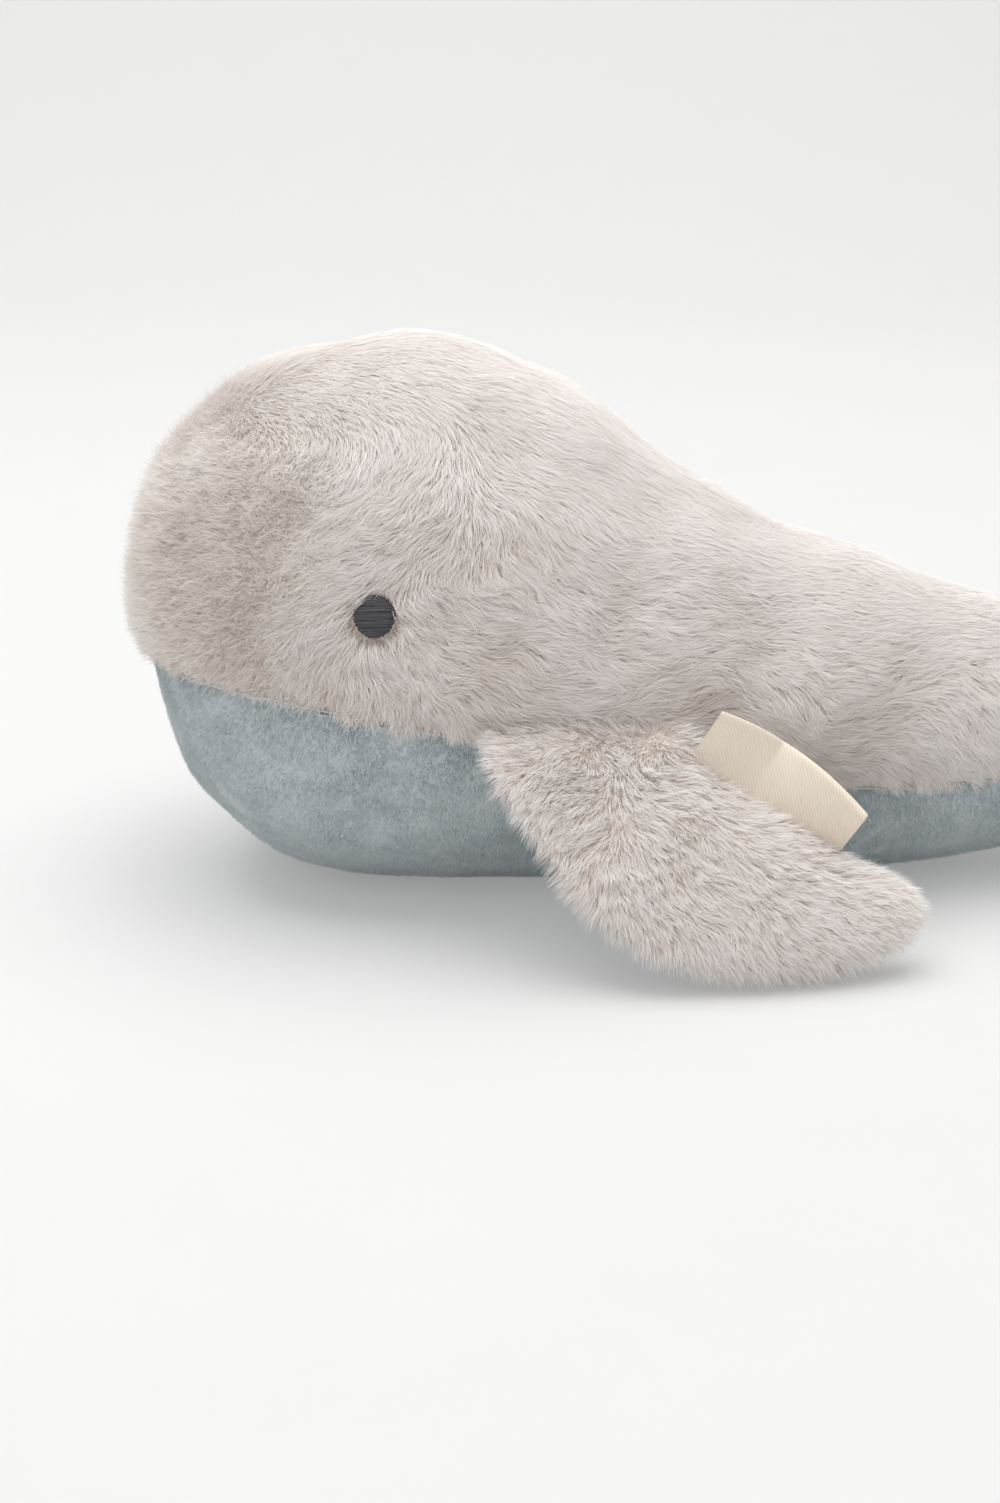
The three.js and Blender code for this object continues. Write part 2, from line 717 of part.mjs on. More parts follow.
// Closed strip over open-sided rings that aren't convex: the two ends are filled as flat shapes
function loopSolid(rings, turned) {
  const places = [];
  const faces = [];
  const count = rings[0].length;
  rings.forEach((ring) => ring.forEach((p) => places.push(p.x, p.y, p.z)));
  for (let i = 0; i + 1 < rings.length; i++) {
    for (let j = 0; j < count; j++) {
      const [a0, a1] = [i * count + j, i * count + (j + 1) % count];
      const [b0, b1] = [a0 + count, a1 + count];
      faces.push(a0, a1, turned(j) ? b1 : b0, turned(j) ? a0 : a1, b1, b0);
    }
  }
  const half = count / 2;
  [[0, false], [(rings.length - 1) * count, true]].forEach(([start, last]) => {
    for (let j = 0; j + 1 < half; j++) {
      const quad = [j, j + 1, count - 2 - j, count - 1 - j].map((k) => start + k);
      const [a, b, c, d] = last ? quad : [quad[3], quad[2], quad[1], quad[0]];
      faces.push(a, b, c, a, c, d);
    }
  });
  const geometry = new THREE.BufferGeometry();
  geometry.setAttribute('position', new THREE.Float32BufferAttribute(places, 3));
  geometry.setIndex(faces);
  return facingOut(geometry);
}

function flipped(geometry) {
  const turned = geometry.clone();
  const order = Array.from(turned.index.array);
  for (let i = 0; i < order.length; i += 3) [order[i], order[i + 1]] = [order[i + 1], order[i]];
  turned.setIndex(order);
  return turned;
}

// Fluke, in a frame with its origin on the hinge line and +X towards the notch
function flukeSolids() {
  const [leading, trailing, thickness] = curvesOf(flukeStationShares);
  const rings = [];
  for (let i = 0; i <= flukeRingCount; i++) {
    const t = (1 - Math.cos(Math.PI * i / flukeRingCount)) / 2;
    const y = flukeHalfSpan * leading.getPoint(t).x;
    const [front, rear] = [flukeChord * leading.getPoint(t).y, flukeChord * trailing.getPoint(t).y];
    const half = flukeHalfThickness * thickness.getPoint(t).y;
    const ring = [];
    for (let j = 0; j < flukeRingPoints; j++) {
      const angle = 2 * Math.PI * j / flukeRingPoints;
      const x = (front + rear) / 2 - (rear - front) / 2 * Math.cos(angle);
      ring.push(new THREE.Vector3(x, y, half * Math.sin(angle)));
    }
    rings.push(i > 0 && i < flukeRingCount ? ring : [ring[0]]);
  }
  const skin = loft(rings);
  const socket = solidOf(tailKnuckle(2 * seat));
  const solids = stuffedLimb(skin, (solid) => solid.subtract(socket));
  solids.filling = solidOf(skin).subtract(socket);
  return solids;
}

// Assembly

function piece(name, solid, finish) {
  const mesh = new THREE.Mesh(solid.isBufferGeometry ? solid : geometryOf(largest(solid)), finish);
  mesh.name = name;
  return mesh;
}

const fur = material(furColour);
const minky = material(minkyColour, 0.85);
const stuffing = material(fillingColour, 1);
const stitches = material(eyeColour, 0.6);
const ribbon = material(labelColour, 0.9);
const stabiliser = material(backingColour, 1);

const whale = new THREE.Group();
const droop = restingDroop();

[['left', 1], ['right', -1]].forEach(([side, way]) => {
  const half = new THREE.Group();
  half.scale.y = way;
  half.add(piece(`back_panel_${side}`, backPanel(), fur));
  half.add(piece(`eye_stitches_${side}`, eyeStitches(), stitches));
  half.add(piece(`eye_backing_${side}`, eyeBacking(), stabiliser));
  half.add(piece(`side_seam_thread_${side}`, sideThread(), minky));
  const limb = new THREE.Group();
  limb.applyMatrix4(flipperFrame(droop));
  const labelled = (solid) => (way > 0 ? solid.subtract(flipper.slit) : solid);
  limb.add(piece(`flipper_top_${side}`, labelled(flipper.top), fur));
  limb.add(piece(`flipper_underside_${side}`, labelled(flipper.bottom), minky));
  limb.add(piece(`flipper_filling_${side}`, flipper.filling, stuffing));
  if (way > 0) limb.add(piece('ribbon_label', flipper.label, ribbon));
  half.add(limb);
  whale.add(half);
});

whale.add(piece('belly_panel', bellyPanel(), minky));
whale.add(piece('body_filling', swollen(liningMesh, -seat), stuffing));
whale.add(piece('dorsal_seam_thread', dorsalThread(), fur));

const tail = new THREE.Group();
tail.position.set(hingeX, 0, hingeZ);
tail.rotation.y = -flukeTilt;
const fluke = flukeSolids();
tail.add(piece('fluke_top', fluke.top, fur));
tail.add(piece('fluke_underside', fluke.bottom, minky));
tail.add(piece('fluke_filling', fluke.filling, stuffing));
whale.add(tail);

export default whale;
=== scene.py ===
# A stuffed plush whale on a white studio floor: long-pile back, short-pile belly, flippers and fluke sewn on at
# their roots, stitched eyes and a folded ribbon label. Shapes are worked out in millimetres in the imported
# model's own frame and become metres when a mesh is made.
import bpy
import numpy as np
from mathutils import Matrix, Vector


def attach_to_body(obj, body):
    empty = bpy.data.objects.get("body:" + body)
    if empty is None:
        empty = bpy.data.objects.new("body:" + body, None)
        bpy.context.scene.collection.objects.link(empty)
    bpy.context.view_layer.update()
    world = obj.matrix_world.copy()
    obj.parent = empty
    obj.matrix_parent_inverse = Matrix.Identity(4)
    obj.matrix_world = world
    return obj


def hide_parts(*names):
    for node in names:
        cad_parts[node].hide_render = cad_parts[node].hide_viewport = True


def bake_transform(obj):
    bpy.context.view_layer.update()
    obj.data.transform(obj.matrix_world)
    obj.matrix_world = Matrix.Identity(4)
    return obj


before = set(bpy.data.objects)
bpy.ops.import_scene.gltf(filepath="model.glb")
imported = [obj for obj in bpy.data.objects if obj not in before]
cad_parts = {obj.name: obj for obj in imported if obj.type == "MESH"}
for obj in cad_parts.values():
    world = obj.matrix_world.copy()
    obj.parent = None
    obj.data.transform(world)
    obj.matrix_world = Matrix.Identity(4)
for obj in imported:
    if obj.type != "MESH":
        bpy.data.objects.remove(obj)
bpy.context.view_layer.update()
scene = bpy.context.scene
rng = np.random.default_rng(11)
mm = 0.001
thinning = 1.0


# Shader sockets with arithmetic

class Socket:
    def __init__(self, nodes, link):
        self.nodes, self.link = nodes, link

    def maths(self, operation, *values):
        return self.nodes.node("Math", {"operation": operation}, dict(enumerate(values)))

    def __add__(self, other):
        return self.maths("ADD", self, other)

    def __radd__(self, other):
        return self.maths("ADD", other, self)

    def __mul__(self, other):
        return self.maths("MULTIPLY", self, other)

    def __rmul__(self, other):
        return self.maths("MULTIPLY", other, self)

    def wave(self):
        return self.maths("SINE", self)


class Nodes:
    def __init__(self, tree):
        self.tree = tree

    def feed(self, node, values):
        for key, value in values.items():
            if isinstance(value, Socket):
                self.tree.links.new(value.link, node.inputs[key])
            else:
                node.inputs[key].default_value = value

    def node(self, kind, settings, values, output=0):
        made = self.tree.nodes.new("ShaderNode" + kind)
        for key, value in settings.items():
            setattr(made, key, value)
        self.feed(made, values)
        return Socket(self, made.outputs[output])

    def mix(self, amount, first, second):
        colours = [c if isinstance(c, Socket) else (*c, 1) for c in (first, second)]
        return self.node("Mix", {"data_type": "RGBA"}, {0: amount, 6: colours[0], 7: colours[1]}, 2)


class Finish(Nodes):
    def __init__(self, name, **constants):
        self.material = bpy.data.materials.new(name)
        self.material.use_nodes = True
        super().__init__(self.material.node_tree)
        self.shader = self.tree.nodes["Principled BSDF"]
        self.look(**constants)

    def look(self, **values):
        self.feed(self.shader, {key.replace("_", " "): value for key, value in values.items()})
        return self.material

    def shareWith(self, kind, colour, share):
        # another shader takes a share of the surface beside the plain one
        other = self.node(kind, {}, {"Color": (*colour, 1)})
        both = self.node("MixShader", {}, {0: share, 1: Socket(self, self.shader.outputs[0]), 2: other})
        self.feed(self.tree.nodes["Material Output"], {"Surface": both})

    def uv(self, title):
        place = self.node("UVMap", {"uv_map": title}, {})
        return [self.node("SeparateXYZ", {}, {0: place}, k) for k in (0, 1)]

    def noise(self, size):
        # noise in the piece's own coordinates, size in millimetres
        place = self.node("TexCoord", {}, {}, "Object")
        return self.node("TexNoise", {}, {"Vector": place, "Scale": 1 / (size * mm)})

    def ramp(self, amount, stops):
        made = self.node("ValToRGB", {}, {0: amount})
        elements = made.link.node.color_ramp.elements
        while len(elements) < len(stops):
            elements.new(0.5)
        for element, (place, colour) in zip(elements, stops):
            element.position, element.color = place, (*colour, 1)
        return made

    def bump(self, height, strength, distance):
        return self.node("Bump", {}, {"Height": height, "Strength": strength, "Distance": distance * mm})


# Curves, noise and grids

def splineAt(rows, t):
    # a smooth curve through rows of numbers; t runs from 0 to 1 over all of them
    rows = np.asarray(rows, float)
    if rows.ndim == 1:
        rows = rows[:, None]
    last = len(rows) - 1
    place = np.clip(t, 0, 1) * last
    i = np.minimum(place.astype(int), last)
    w = (place - i)[:, None]
    a, b = rows[np.maximum(i - 1, 0)], rows[i]
    c, d = rows[np.minimum(i + 1, last)], rows[np.minimum(i + 2, last)]
    v, u = (c - a) / 2, (d - b) / 2
    return (2 * b - 2 * c + v + u) * w**3 + (-3 * b + 3 * c - 2 * v - u) * w**2 + v * w + b


def unit(v):
    return v / np.maximum(np.linalg.norm(v, axis=-1, keepdims=True), 1e-9)


def smooth(value, low, high):
    share = np.clip((value - low) / (high - low), 0, 1)
    return share * share * (3 - 2 * share)


def waves(size, seed, count=28):
    # soft noise, about -1 to 1, from sine waves in random directions
    maker = np.random.default_rng(seed)
    ways = unit(maker.normal(size=(count, 3)))
    ways = ways * 2 * np.pi / (size * maker.uniform(0.6, 1.6, (count, 1)))
    phases = maker.uniform(0, 2 * np.pi, count)

    def at(points):
        flat = points.reshape(-1, 3)
        total = sum(np.sin(flat @ way + phase) for way, phase in zip(ways, phases))
        return (total * 1.6 / np.sqrt(count)).reshape(points.shape[:-1])
    return at


def gridNormals(points, way=1):
    # rows x columns x 3, where the last column joins the first
    wrapped = np.concatenate([points[:, -1:], points, points[:, :1]], 1)
    across = (wrapped[:, 2:] - wrapped[:, :-2]) / 2
    return unit(np.cross(across, np.gradient(points, axis=0))) * way


def gridFaces(rows, columns, keep=None, way=1):
    i, j = np.meshgrid(np.arange(rows - 1), np.arange(columns), indexing="ij")
    k = (j + 1) % columns
    faces = np.stack([i * columns + j, i * columns + k, (i + 1) * columns + k, (i + 1) * columns + j], -1)
    if keep is not None:
        faces = faces[keep[i, j] & keep[i, k] & keep[i + 1, k] & keep[i + 1, j]]
    return faces.reshape(-1, 4)[:, ::way]


def scatter(points, normals, density, keep):
    # random roots on a grid, density of them to the square millimetre where keep is 1
    p, n, k = (np.concatenate([a, a[:, :1]], 1) for a in (points, normals, keep.astype(float)))
    halves = [np.cross(p[1:, :-1] - c, p[:-1, 1:] - c) for c in (p[:-1, :-1], p[1:, 1:])]
    area = sum(np.linalg.norm(h, axis=-1) for h in halves) / 2
    area = area * (k[1:, :-1] + k[:-1, :-1] + k[1:, 1:] + k[:-1, 1:]) / 4
    share = np.cumsum(area.ravel())
    count = int(share[-1] * density * thinning)
    cell = np.minimum(np.searchsorted(share, rng.uniform(0, share[-1], count)), area.size - 1)
    i, j = np.unravel_index(cell, area.shape)
    u, v = rng.uniform(size=(2, count, 1))

    def between(a):
        return (a[i, j] * (1 - u) + a[i + 1, j] * u) * (1 - v) + (a[i, j + 1] * (1 - u) + a[i + 1, j + 1] * u) * v
    return between(p), unit(between(n))


def meshPiece(name, points, faces, material, maps=None):
    mesh = bpy.data.meshes.new(name)
    points, faces = np.asarray(points, np.float32).reshape(-1, 3) * mm, np.asarray(faces, np.int32)
    corners = faces.shape[1]
    used, faces = np.unique(faces, return_inverse=True)
    points, faces = points[used], faces.reshape(-1, corners)
    maps = {title: np.asarray(uv, np.float32)[used] for title, uv in (maps or {}).items()}
    mesh.vertices.add(len(points))
    mesh.vertices.foreach_set("co", points.ravel())
    mesh.loops.add(faces.size)
    mesh.loops.foreach_set("vertex_index", faces.ravel())
    mesh.polygons.add(len(faces))
    mesh.polygons.foreach_set("loop_start", np.arange(len(faces), dtype=np.int32) * corners)
    mesh.polygons.foreach_set("use_smooth", np.ones(len(faces), bool))
    mesh.update(calc_edges=True)
    for title, uv in maps.items():
        layer = mesh.uv_layers.new(name=title)
        layer.data.foreach_set("uv", uv[faces.ravel()].ravel())
    mesh.materials.append(material)
    piece = bpy.data.objects.new(name, mesh)
    scene.collection.objects.link(piece)
    return piece


def mirrored(points, way):
    return points * np.array([1, way, 1])


def settle(piece, attach="body", node=None):
    # parents a piece to the body, or else bakes its place into the mesh, and hides the CAD node in whose place it
    # stands
    if attach == "body":
        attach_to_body(piece, attach)
    else:
        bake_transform(piece)
    if node:
        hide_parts(node)


# Pile

def tufts(points, size, seed):
    # gives each root the number and the middle of the tuft it belongs to
    warp = np.stack([waves(size * 2.2, seed + k)(points) for k in range(3)], -1) * size * 0.6
    cell = np.floor((points + warp) / size).astype(np.int64)
    _, tuft, count = np.unique((cell * [73856093, 19349663, 83492791]).sum(1), return_inverse=True, return_counts=True)
    tuft = tuft.ravel()
    return tuft, np.stack([np.bincount(tuft, points[:, k])[tuft] / count[tuft] for k in range(3)], 1)


strandShape = {
    "depth": 0.3, "kneeWidth": 0.8, "kneeDrift": 0.4, "edgeTone": 0.004,
    "parts": (0.45, 0.55),  # of its length, below and past the knee
    "rises": (0.02, 0.5, 0.98),  # of the root, the knee and the tip on its colour ramp
}


def pile(name, look, attach, roots, normals, flow, length, lean, tone, trim, fuzz=0, loose=1):
    # tapered, slightly ridged strands that leave the cloth near its normal and lay themselves down along the
    # flow; where fuzz is 1 they stand every way, as sheared pile does, and where loose is 0 they lie smooth
    count = len(roots)
    fuzz, loose = (np.broadcast_to(np.asarray(v, float), count) for v in (fuzz, loose))
    drifts, lift = [], look["bristle"] * fuzz * rng.normal(0, 1, count)
    turn = rng.normal(0, 1, count) * (look["stray"] + look["bristle"] * 2 * fuzz)
    tone = tone + look["speckle"] * (0.5 + fuzz) * rng.normal(0, 1, count)
    for share, kinds in ((loose, look["tufts"]), (fuzz, look["specks"])):
        for size, pull, spread, mottle, seed in kinds:
            tuft, middle = tufts(roots, size, seed)
            each = np.random.default_rng(seed).normal(size=(3, tuft.max() + 1))[:, tuft]
            turn = turn + each[0] * spread * share
            lift = lift + each[1] * spread * 0.6 * share
            tone = tone + each[2] * mottle * (0.4 + 0.6 * share)
            drifts.append((middle - roots) * (pull * share)[:, None])
    drift = sum(drifts)
    curl = look["curl"] * waves(look["curlSize"], look["curlSeed"])(roots) * loose
    curl = curl + look["bristle"] * 1.5 * fuzz * rng.normal(0, 1, count)
    length = length * rng.uniform(1 - look["unevenness"], 1, count)
    sideways = np.cross(normals, flow)
    ways = []
    for share, curled in ((look["rise"], 1), (1, -1)):
        angle, swing = (lean + lift) * share, turn + curl * curled
        along = flow * np.cos(swing)[:, None] + sideways * np.sin(swing)[:, None]
        ways.append(normals * np.cos(angle)[:, None] + along * np.sin(angle)[:, None])
    below, past = strandShape["parts"]
    middle = roots + ways[0] * (length * below)[:, None] + drift * strandShape["kneeDrift"]
    tip = roots + (ways[0] * below + ways[1] * past) * length[:, None] + drift
    middle, tip = trim(roots, middle, tip)

    axis = unit(tip - roots)
    side = unit(np.cross(axis, normals + 1e-3))  # nudged, so that an upright strand has a side too
    roll = rng.normal(0, look["roll"], (count, 1))
    ridge = np.cross(side, axis)
    side, ridge = side * np.cos(roll) + ridge * np.sin(roll), ridge * np.cos(roll) - side * np.sin(roll)
    corners = [side / 2, ridge * look["ridge"], -side / 2]
    rings = [[roots - normals * strandShape["depth"] + c * look["width"] for c in corners]]
    low, knee, high = strandShape["rises"]
    rises = [low] * 3
    if look["jointed"]:
        rings.append([middle + c * look["width"] * strandShape["kneeWidth"] for c in corners])
        rises += [knee] * 3
        pattern = [[0, 3, 4], [0, 4, 1], [1, 4, 5], [1, 5, 2], [3, 6, 4], [4, 6, 5]]
    else:
        pattern = [[0, 3, 1], [1, 3, 2]]
    points = np.stack([p for ring in rings for p in ring] + [tip], 1)
    own = points.shape[1]
    across = np.resize([-strandShape["edgeTone"], 0, strandShape["edgeTone"]], own)
    tones = np.clip(tone, 0.01, 0.99)[:, None] + across
    uv = np.stack(np.broadcast_arrays(tones, np.array(rises + [high])), -1)
    for part, begin in enumerate(range(0, count, look["most"])):
        some = slice(begin, min(begin + look["most"], count))
        faces = np.arange(some.stop - begin)[:, None, None] * own + np.array(pattern)
        maps = {title: uv[some].reshape(-1, 2) for title in ("Strand", "OFBake")}
        piece = meshPiece(f"{name}_{part + 1:02d}", points[some], faces.reshape(-1, 3), look["strands"], maps)
        settle(piece, attach)
    print(f"{name}: {count} strands")


# Finishes

litThrough = 0.3  # the share of the light that a strand lets through


def strandFinish(name, roughness, plain, deep):
    # colour along each strand, from root to tip, in two tones that are mixed strand by strand
    finish = Finish(name, Roughness=roughness)
    tone, rise = finish.uv("Strand")
    finish.shareWith("BsdfTranslucent", plain[-1][1], litThrough)
    return finish.look(Base_Color=finish.mix(tone, finish.ramp(rise, plain), finish.ramp(rise, deep)))


furStrands = strandFinish(
    "fur", 0.8,
    [(0, (0.86, 0.74, 0.66)), (0.4, (0.96, 0.915, 0.88)), (0.85, (0.985, 0.96, 0.94))],
    [(0, (0.50, 0.38, 0.31)), (0.4, (0.76, 0.65, 0.57)), (0.85, (0.92, 0.86, 0.81))],
)
minkyStrands = strandFinish(
    "minky", 0.6,
    [(0, (0.48, 0.53, 0.55)), (0.4, (0.58, 0.635, 0.65)), (0.85, (0.68, 0.73, 0.745))],
    [(0, (0.34, 0.385, 0.405)), (0.4, (0.42, 0.47, 0.49)), (0.85, (0.53, 0.585, 0.605))],
)


def clothFinish(name, pale, dark):
    finish = Finish(name, Roughness=0.95)
    patch = finish.noise(7)
    return finish.look(Base_Color=finish.mix(patch, dark, pale), Normal=finish.bump(finish.noise(0.8), 0.4, 0.2))


furBacking = clothFinish("fur_backing", (0.90, 0.82, 0.76), (0.84, 0.75, 0.68))
minkyBacking = clothFinish("minky_backing", (0.54, 0.59, 0.61), (0.46, 0.51, 0.53))
stuffing = clothFinish("stuffing", (0.86, 0.85, 0.83), (0.66, 0.65, 0.63))
sewingThread = clothFinish("sewing_thread", (0.62, 0.60, 0.58), (0.42, 0.41, 0.40))
stabiliserCloth = clothFinish("stabiliser", (0.80, 0.79, 0.76), (0.60, 0.59, 0.57))
for title, material in (
    ("dorsal_seam_thread", sewingThread), ("side_seam_thread_left", sewingThread),
    ("side_seam_thread_right", sewingThread), ("eye_backing_left", stabiliserCloth),
    ("eye_backing_right", stabiliserCloth),
):
    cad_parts[title].data.materials[0] = material


# The body

body = {
    "length": 302, "halfWidth": 68, "height": 147, "noseToRest": 100, "lift": 1.8, "roundness": 2.2,
    "stationShares": [
        (0, 0, 0.52, 0.52, 0.42), (0.0065, 0.27, 0.68, 0.4, 0.42), (0.026, 0.48, 0.785, 0.275, 0.42),
        (0.059, 0.67, 0.87, 0.15, 0.42), (0.111, 0.84, 0.947, 0.055, 0.42), (0.19, 0.96, 0.994, 0.008, 0.42),
        (0.275, 1, 1, 0, 0.42), (0.36, 0.975, 0.945, 0, 0.42), (0.457, 0.89, 0.805, 0, 0.43),
        (0.555, 0.765, 0.68, 0, 0.44), (0.654, 0.63, 0.594, 0.003, 0.45), (0.752, 0.5, 0.522, 0.018, 0.46),
        (0.837, 0.395, 0.465, 0.05, 0.47), (0.922, 0.295, 0.42, 0.105, 0.49), (1, 0.22, 0.394, 0.175, 0.5),
    ],
    "seamShares": [
        (-0.1, 0.455), (0.09, 0.45), (0.18, 0.432), (0.28, 0.396), (0.34, 0.366), (0.438, 0.322),
        (0.536, 0.281), (0.654, 0.236), (0.752, 0.224), (0.837, 0.238), (0.922, 0.262), (1, 0.285), (1.2, 0.285),
    ],
    "rows": 300, "columns": 320, "capRows": 24, "nearNose": 1.3,
}


def sectionsAt(t):
    # middle line, half width, top, bottom and waist of the body's sections, in millimetres
    x, width, top, bottom, waist = splineAt(body["stationShares"], t).T
    top, bottom = (body["lift"] + body["height"] * v for v in (top, bottom))
    return (
        x * body["length"] - body["noseToRest"], width * body["halfWidth"], top, bottom,
        bottom + (top - bottom) * waist,
    )


def bodyGrid(rows, columns, capRows):
    t = np.linspace(0, 1, rows) ** body["nearNose"]
    t[0] = 1e-4
    x, width, top, bottom, waist = sectionsAt(t)
    turn = np.linspace(0, np.pi / 2, capRows + 1)[1:]
    shrink = np.maximum(np.cos(turn), 1e-3)
    half = (top[-1] - bottom[-1]) / 2
    x = np.append(x, x[-1] + half * np.sin(turn))
    width = np.append(width, width[-1] * shrink)
    waist = np.append(waist, np.full(capRows, waist[-1]))
    top = np.append(top, waist[-1] + half * shrink)
    bottom = np.append(bottom, waist[-1] - half * shrink)
    angle = np.linspace(0, 2 * np.pi, columns, endpoint=False)
    across, up = (np.sign(v) * np.abs(v) ** (2 / body["roundness"]) for v in (np.cos(angle), np.sin(angle)))
    rise = np.where(up > 0, (top - waist)[:, None], (waist - bottom)[:, None])
    return np.stack(np.broadcast_arrays(x[:, None], width[:, None] * across, waist[:, None] + rise * up), -1)


fineSections = np.array(sectionsAt(np.linspace(0, 1, 900)))
fineSeam = splineAt(body["seamShares"], np.linspace(0, 1, 400))


def sideAt(x, z):
    # half width of the sewn body at a height
    width, top, bottom, waist = (np.interp(x, fineSections[0], row) for row in fineSections[1:])
    rise = np.where(z > waist, top - waist, waist - bottom)
    level = np.clip(np.abs((z - waist) / rise), 0, 1)
    return width * (1 - level ** body["roundness"]) ** (1 / body["roundness"])


def overSeam(points):
    along = (points[..., 0] + body["noseToRest"]) / body["length"]
    return points[..., 2] - body["lift"] - body["height"] * np.interp(along, fineSeam[:, 0], fineSeam[:, 1])


hinge = np.array([body["length"] - body["noseToRest"], 0, fineSections[4][-1]])
skin = bodyGrid(body["rows"], body["columns"], body["capRows"])
skinNormals = gridNormals(skin)

# the stuffing's low swells, alike on both sides, and the dimples and creases of the belly's cloth
swells = {
    "depth": 2.6, "spacing": 36, "sink": 0.4, "raise": 1.6, "raiseOver": 12, "offGround": (4, 24), "beforeTail": 12,
    "waveShares": [(0.8, 0, 0.45, 0.1), (0.55, 0.3, -0.7, 0.45), (-0.15, 0.85, 0.6, 0.7), (0.95, -0.35, 0.1, 0.25)],
    # x, z, reach along x and z, depth
    "dimples": [
        (-35, 35, 9, 9, 1.3), (-12, 33, 6, 8, 1.0), (2, 46, 2.0, 8, 2.4), (-60, 48, 8, 8, 0.9), (30, 20, 9, 9, 1),
    ],
}


def swellAt(points):
    # -1 in a hollow to 1 on a crest
    x, y, z = points[..., 0], -np.abs(points[..., 1]), points[..., 2]
    total = 0
    for a, b, c, start in swells["waveShares"]:
        total = total + np.sin(2 * np.pi * ((a * x + b * y + c * z) / swells["spacing"] + start))
    return total / len(swells["waveShares"])


swell = swells["depth"] / 2 * swellAt(skin) - swells["sink"]
for x, z, wide, tall, depth in swells["dimples"]:
    swell -= depth * np.exp(-((skin[..., 0] - x) / wide) ** 2 - ((skin[..., 2] - z) / tall) ** 2)
swell += swells["raise"] * smooth(overSeam(skin), 0, swells["raiseOver"])  # long pile's cloth stands over short
swell *= smooth(skin[..., 2], *swells["offGround"])
swell *= 1 - smooth(skin[..., 0], hinge[0] - swells["beforeTail"], hinge[0])
skin = skin + skinNormals * swell[..., None]
skinNormals = gridNormals(skin)
above = overSeam(skin)

eye = {
    "x": -32.5, "z": 91.47, "halfWidth": 5.2, "halfHeight": 5.3,
    # how near the fur comes, where the stitches' edge is 1
    "bare": 0.98, "trim": (0.92, 1.12), "near": 4, "rim": 0.6, "rimLift": 0.12,
}


def fromEye(points):
    return np.hypot((points[..., 0] - eye["x"]) / eye["halfWidth"], (points[..., 2] - eye["z"]) / eye["halfHeight"])


def besideEye(roots, middle, tip):
    # strands near the eye end where they would cross its stitches
    close = np.flatnonzero(fromEye(roots) < eye["near"])
    edge = rng.uniform(*eye["trim"], len(close))
    free = np.ones(len(close))
    for share in np.linspace(1, 0.1, 10):
        reach = roots[close] + (tip[close] - roots[close]) * share
        free = np.where(fromEye(reach) < edge, share - 0.1, free)
    for ends in (middle, tip):
        ends[close] = roots[close] + (ends[close] - roots[close]) * free[:, None]
    return middle, tip


furField = {
    "slot": "fur", "strands": furStrands, "density": 6.0, "faceLength": 6.8, "backLength": 9.6, "width": 0.22,
    "unevenness": 0.3, "stray": 0.2, "rise": 0.55, "curl": 0.2, "curlSize": 9, "curlSeed": 45, "roll": 0.3,
    "ridge": 0.28, "bristle": 0.45, "speckle": 0.24, "jointed": True, "most": 31000,
    # size, pull together, spread of direction, spread of tone, seed
    "tufts": [(1.5, 0.2, 0.12, 0.13, 5), (5.2, 0.12, 0.1, 0.08, 9)], "specks": [(1.3, 0.4, 0.8, 0.3, 23)],
}
coat = {
    "overSeam": 1.2, "pastHinge": 14, "tailTaper": 30,
    "blur": 70,  # between the guides, in square millimetres
    "bend": 0.1, "swirl": 0.12, "parting": 16, "partingSwirl": 2.5, "combed": 0.6, "combedFrom": (0.55, 0.85),
    "longFrom": (42, 74), "fuzzyTo": (-68, -44), "crownLean": 68, "crownFrom": (0.4, 0.75), "press": 1.13,
    "smoothed": 0.9, "smoothedFrom": (0.4, 0.8),
    "hem": (-9, -1), "hemShorter": 0.3, "hemRagged": 0.15,
    "pale": 0.05, "brown": 0.66, "patchTone": 0.08, "fuzzTone": 0.14,
}
bend, swirl, patch, ragged = waves(38, 1), waves(15, 2), waves(24, 3), waves(6, 4)

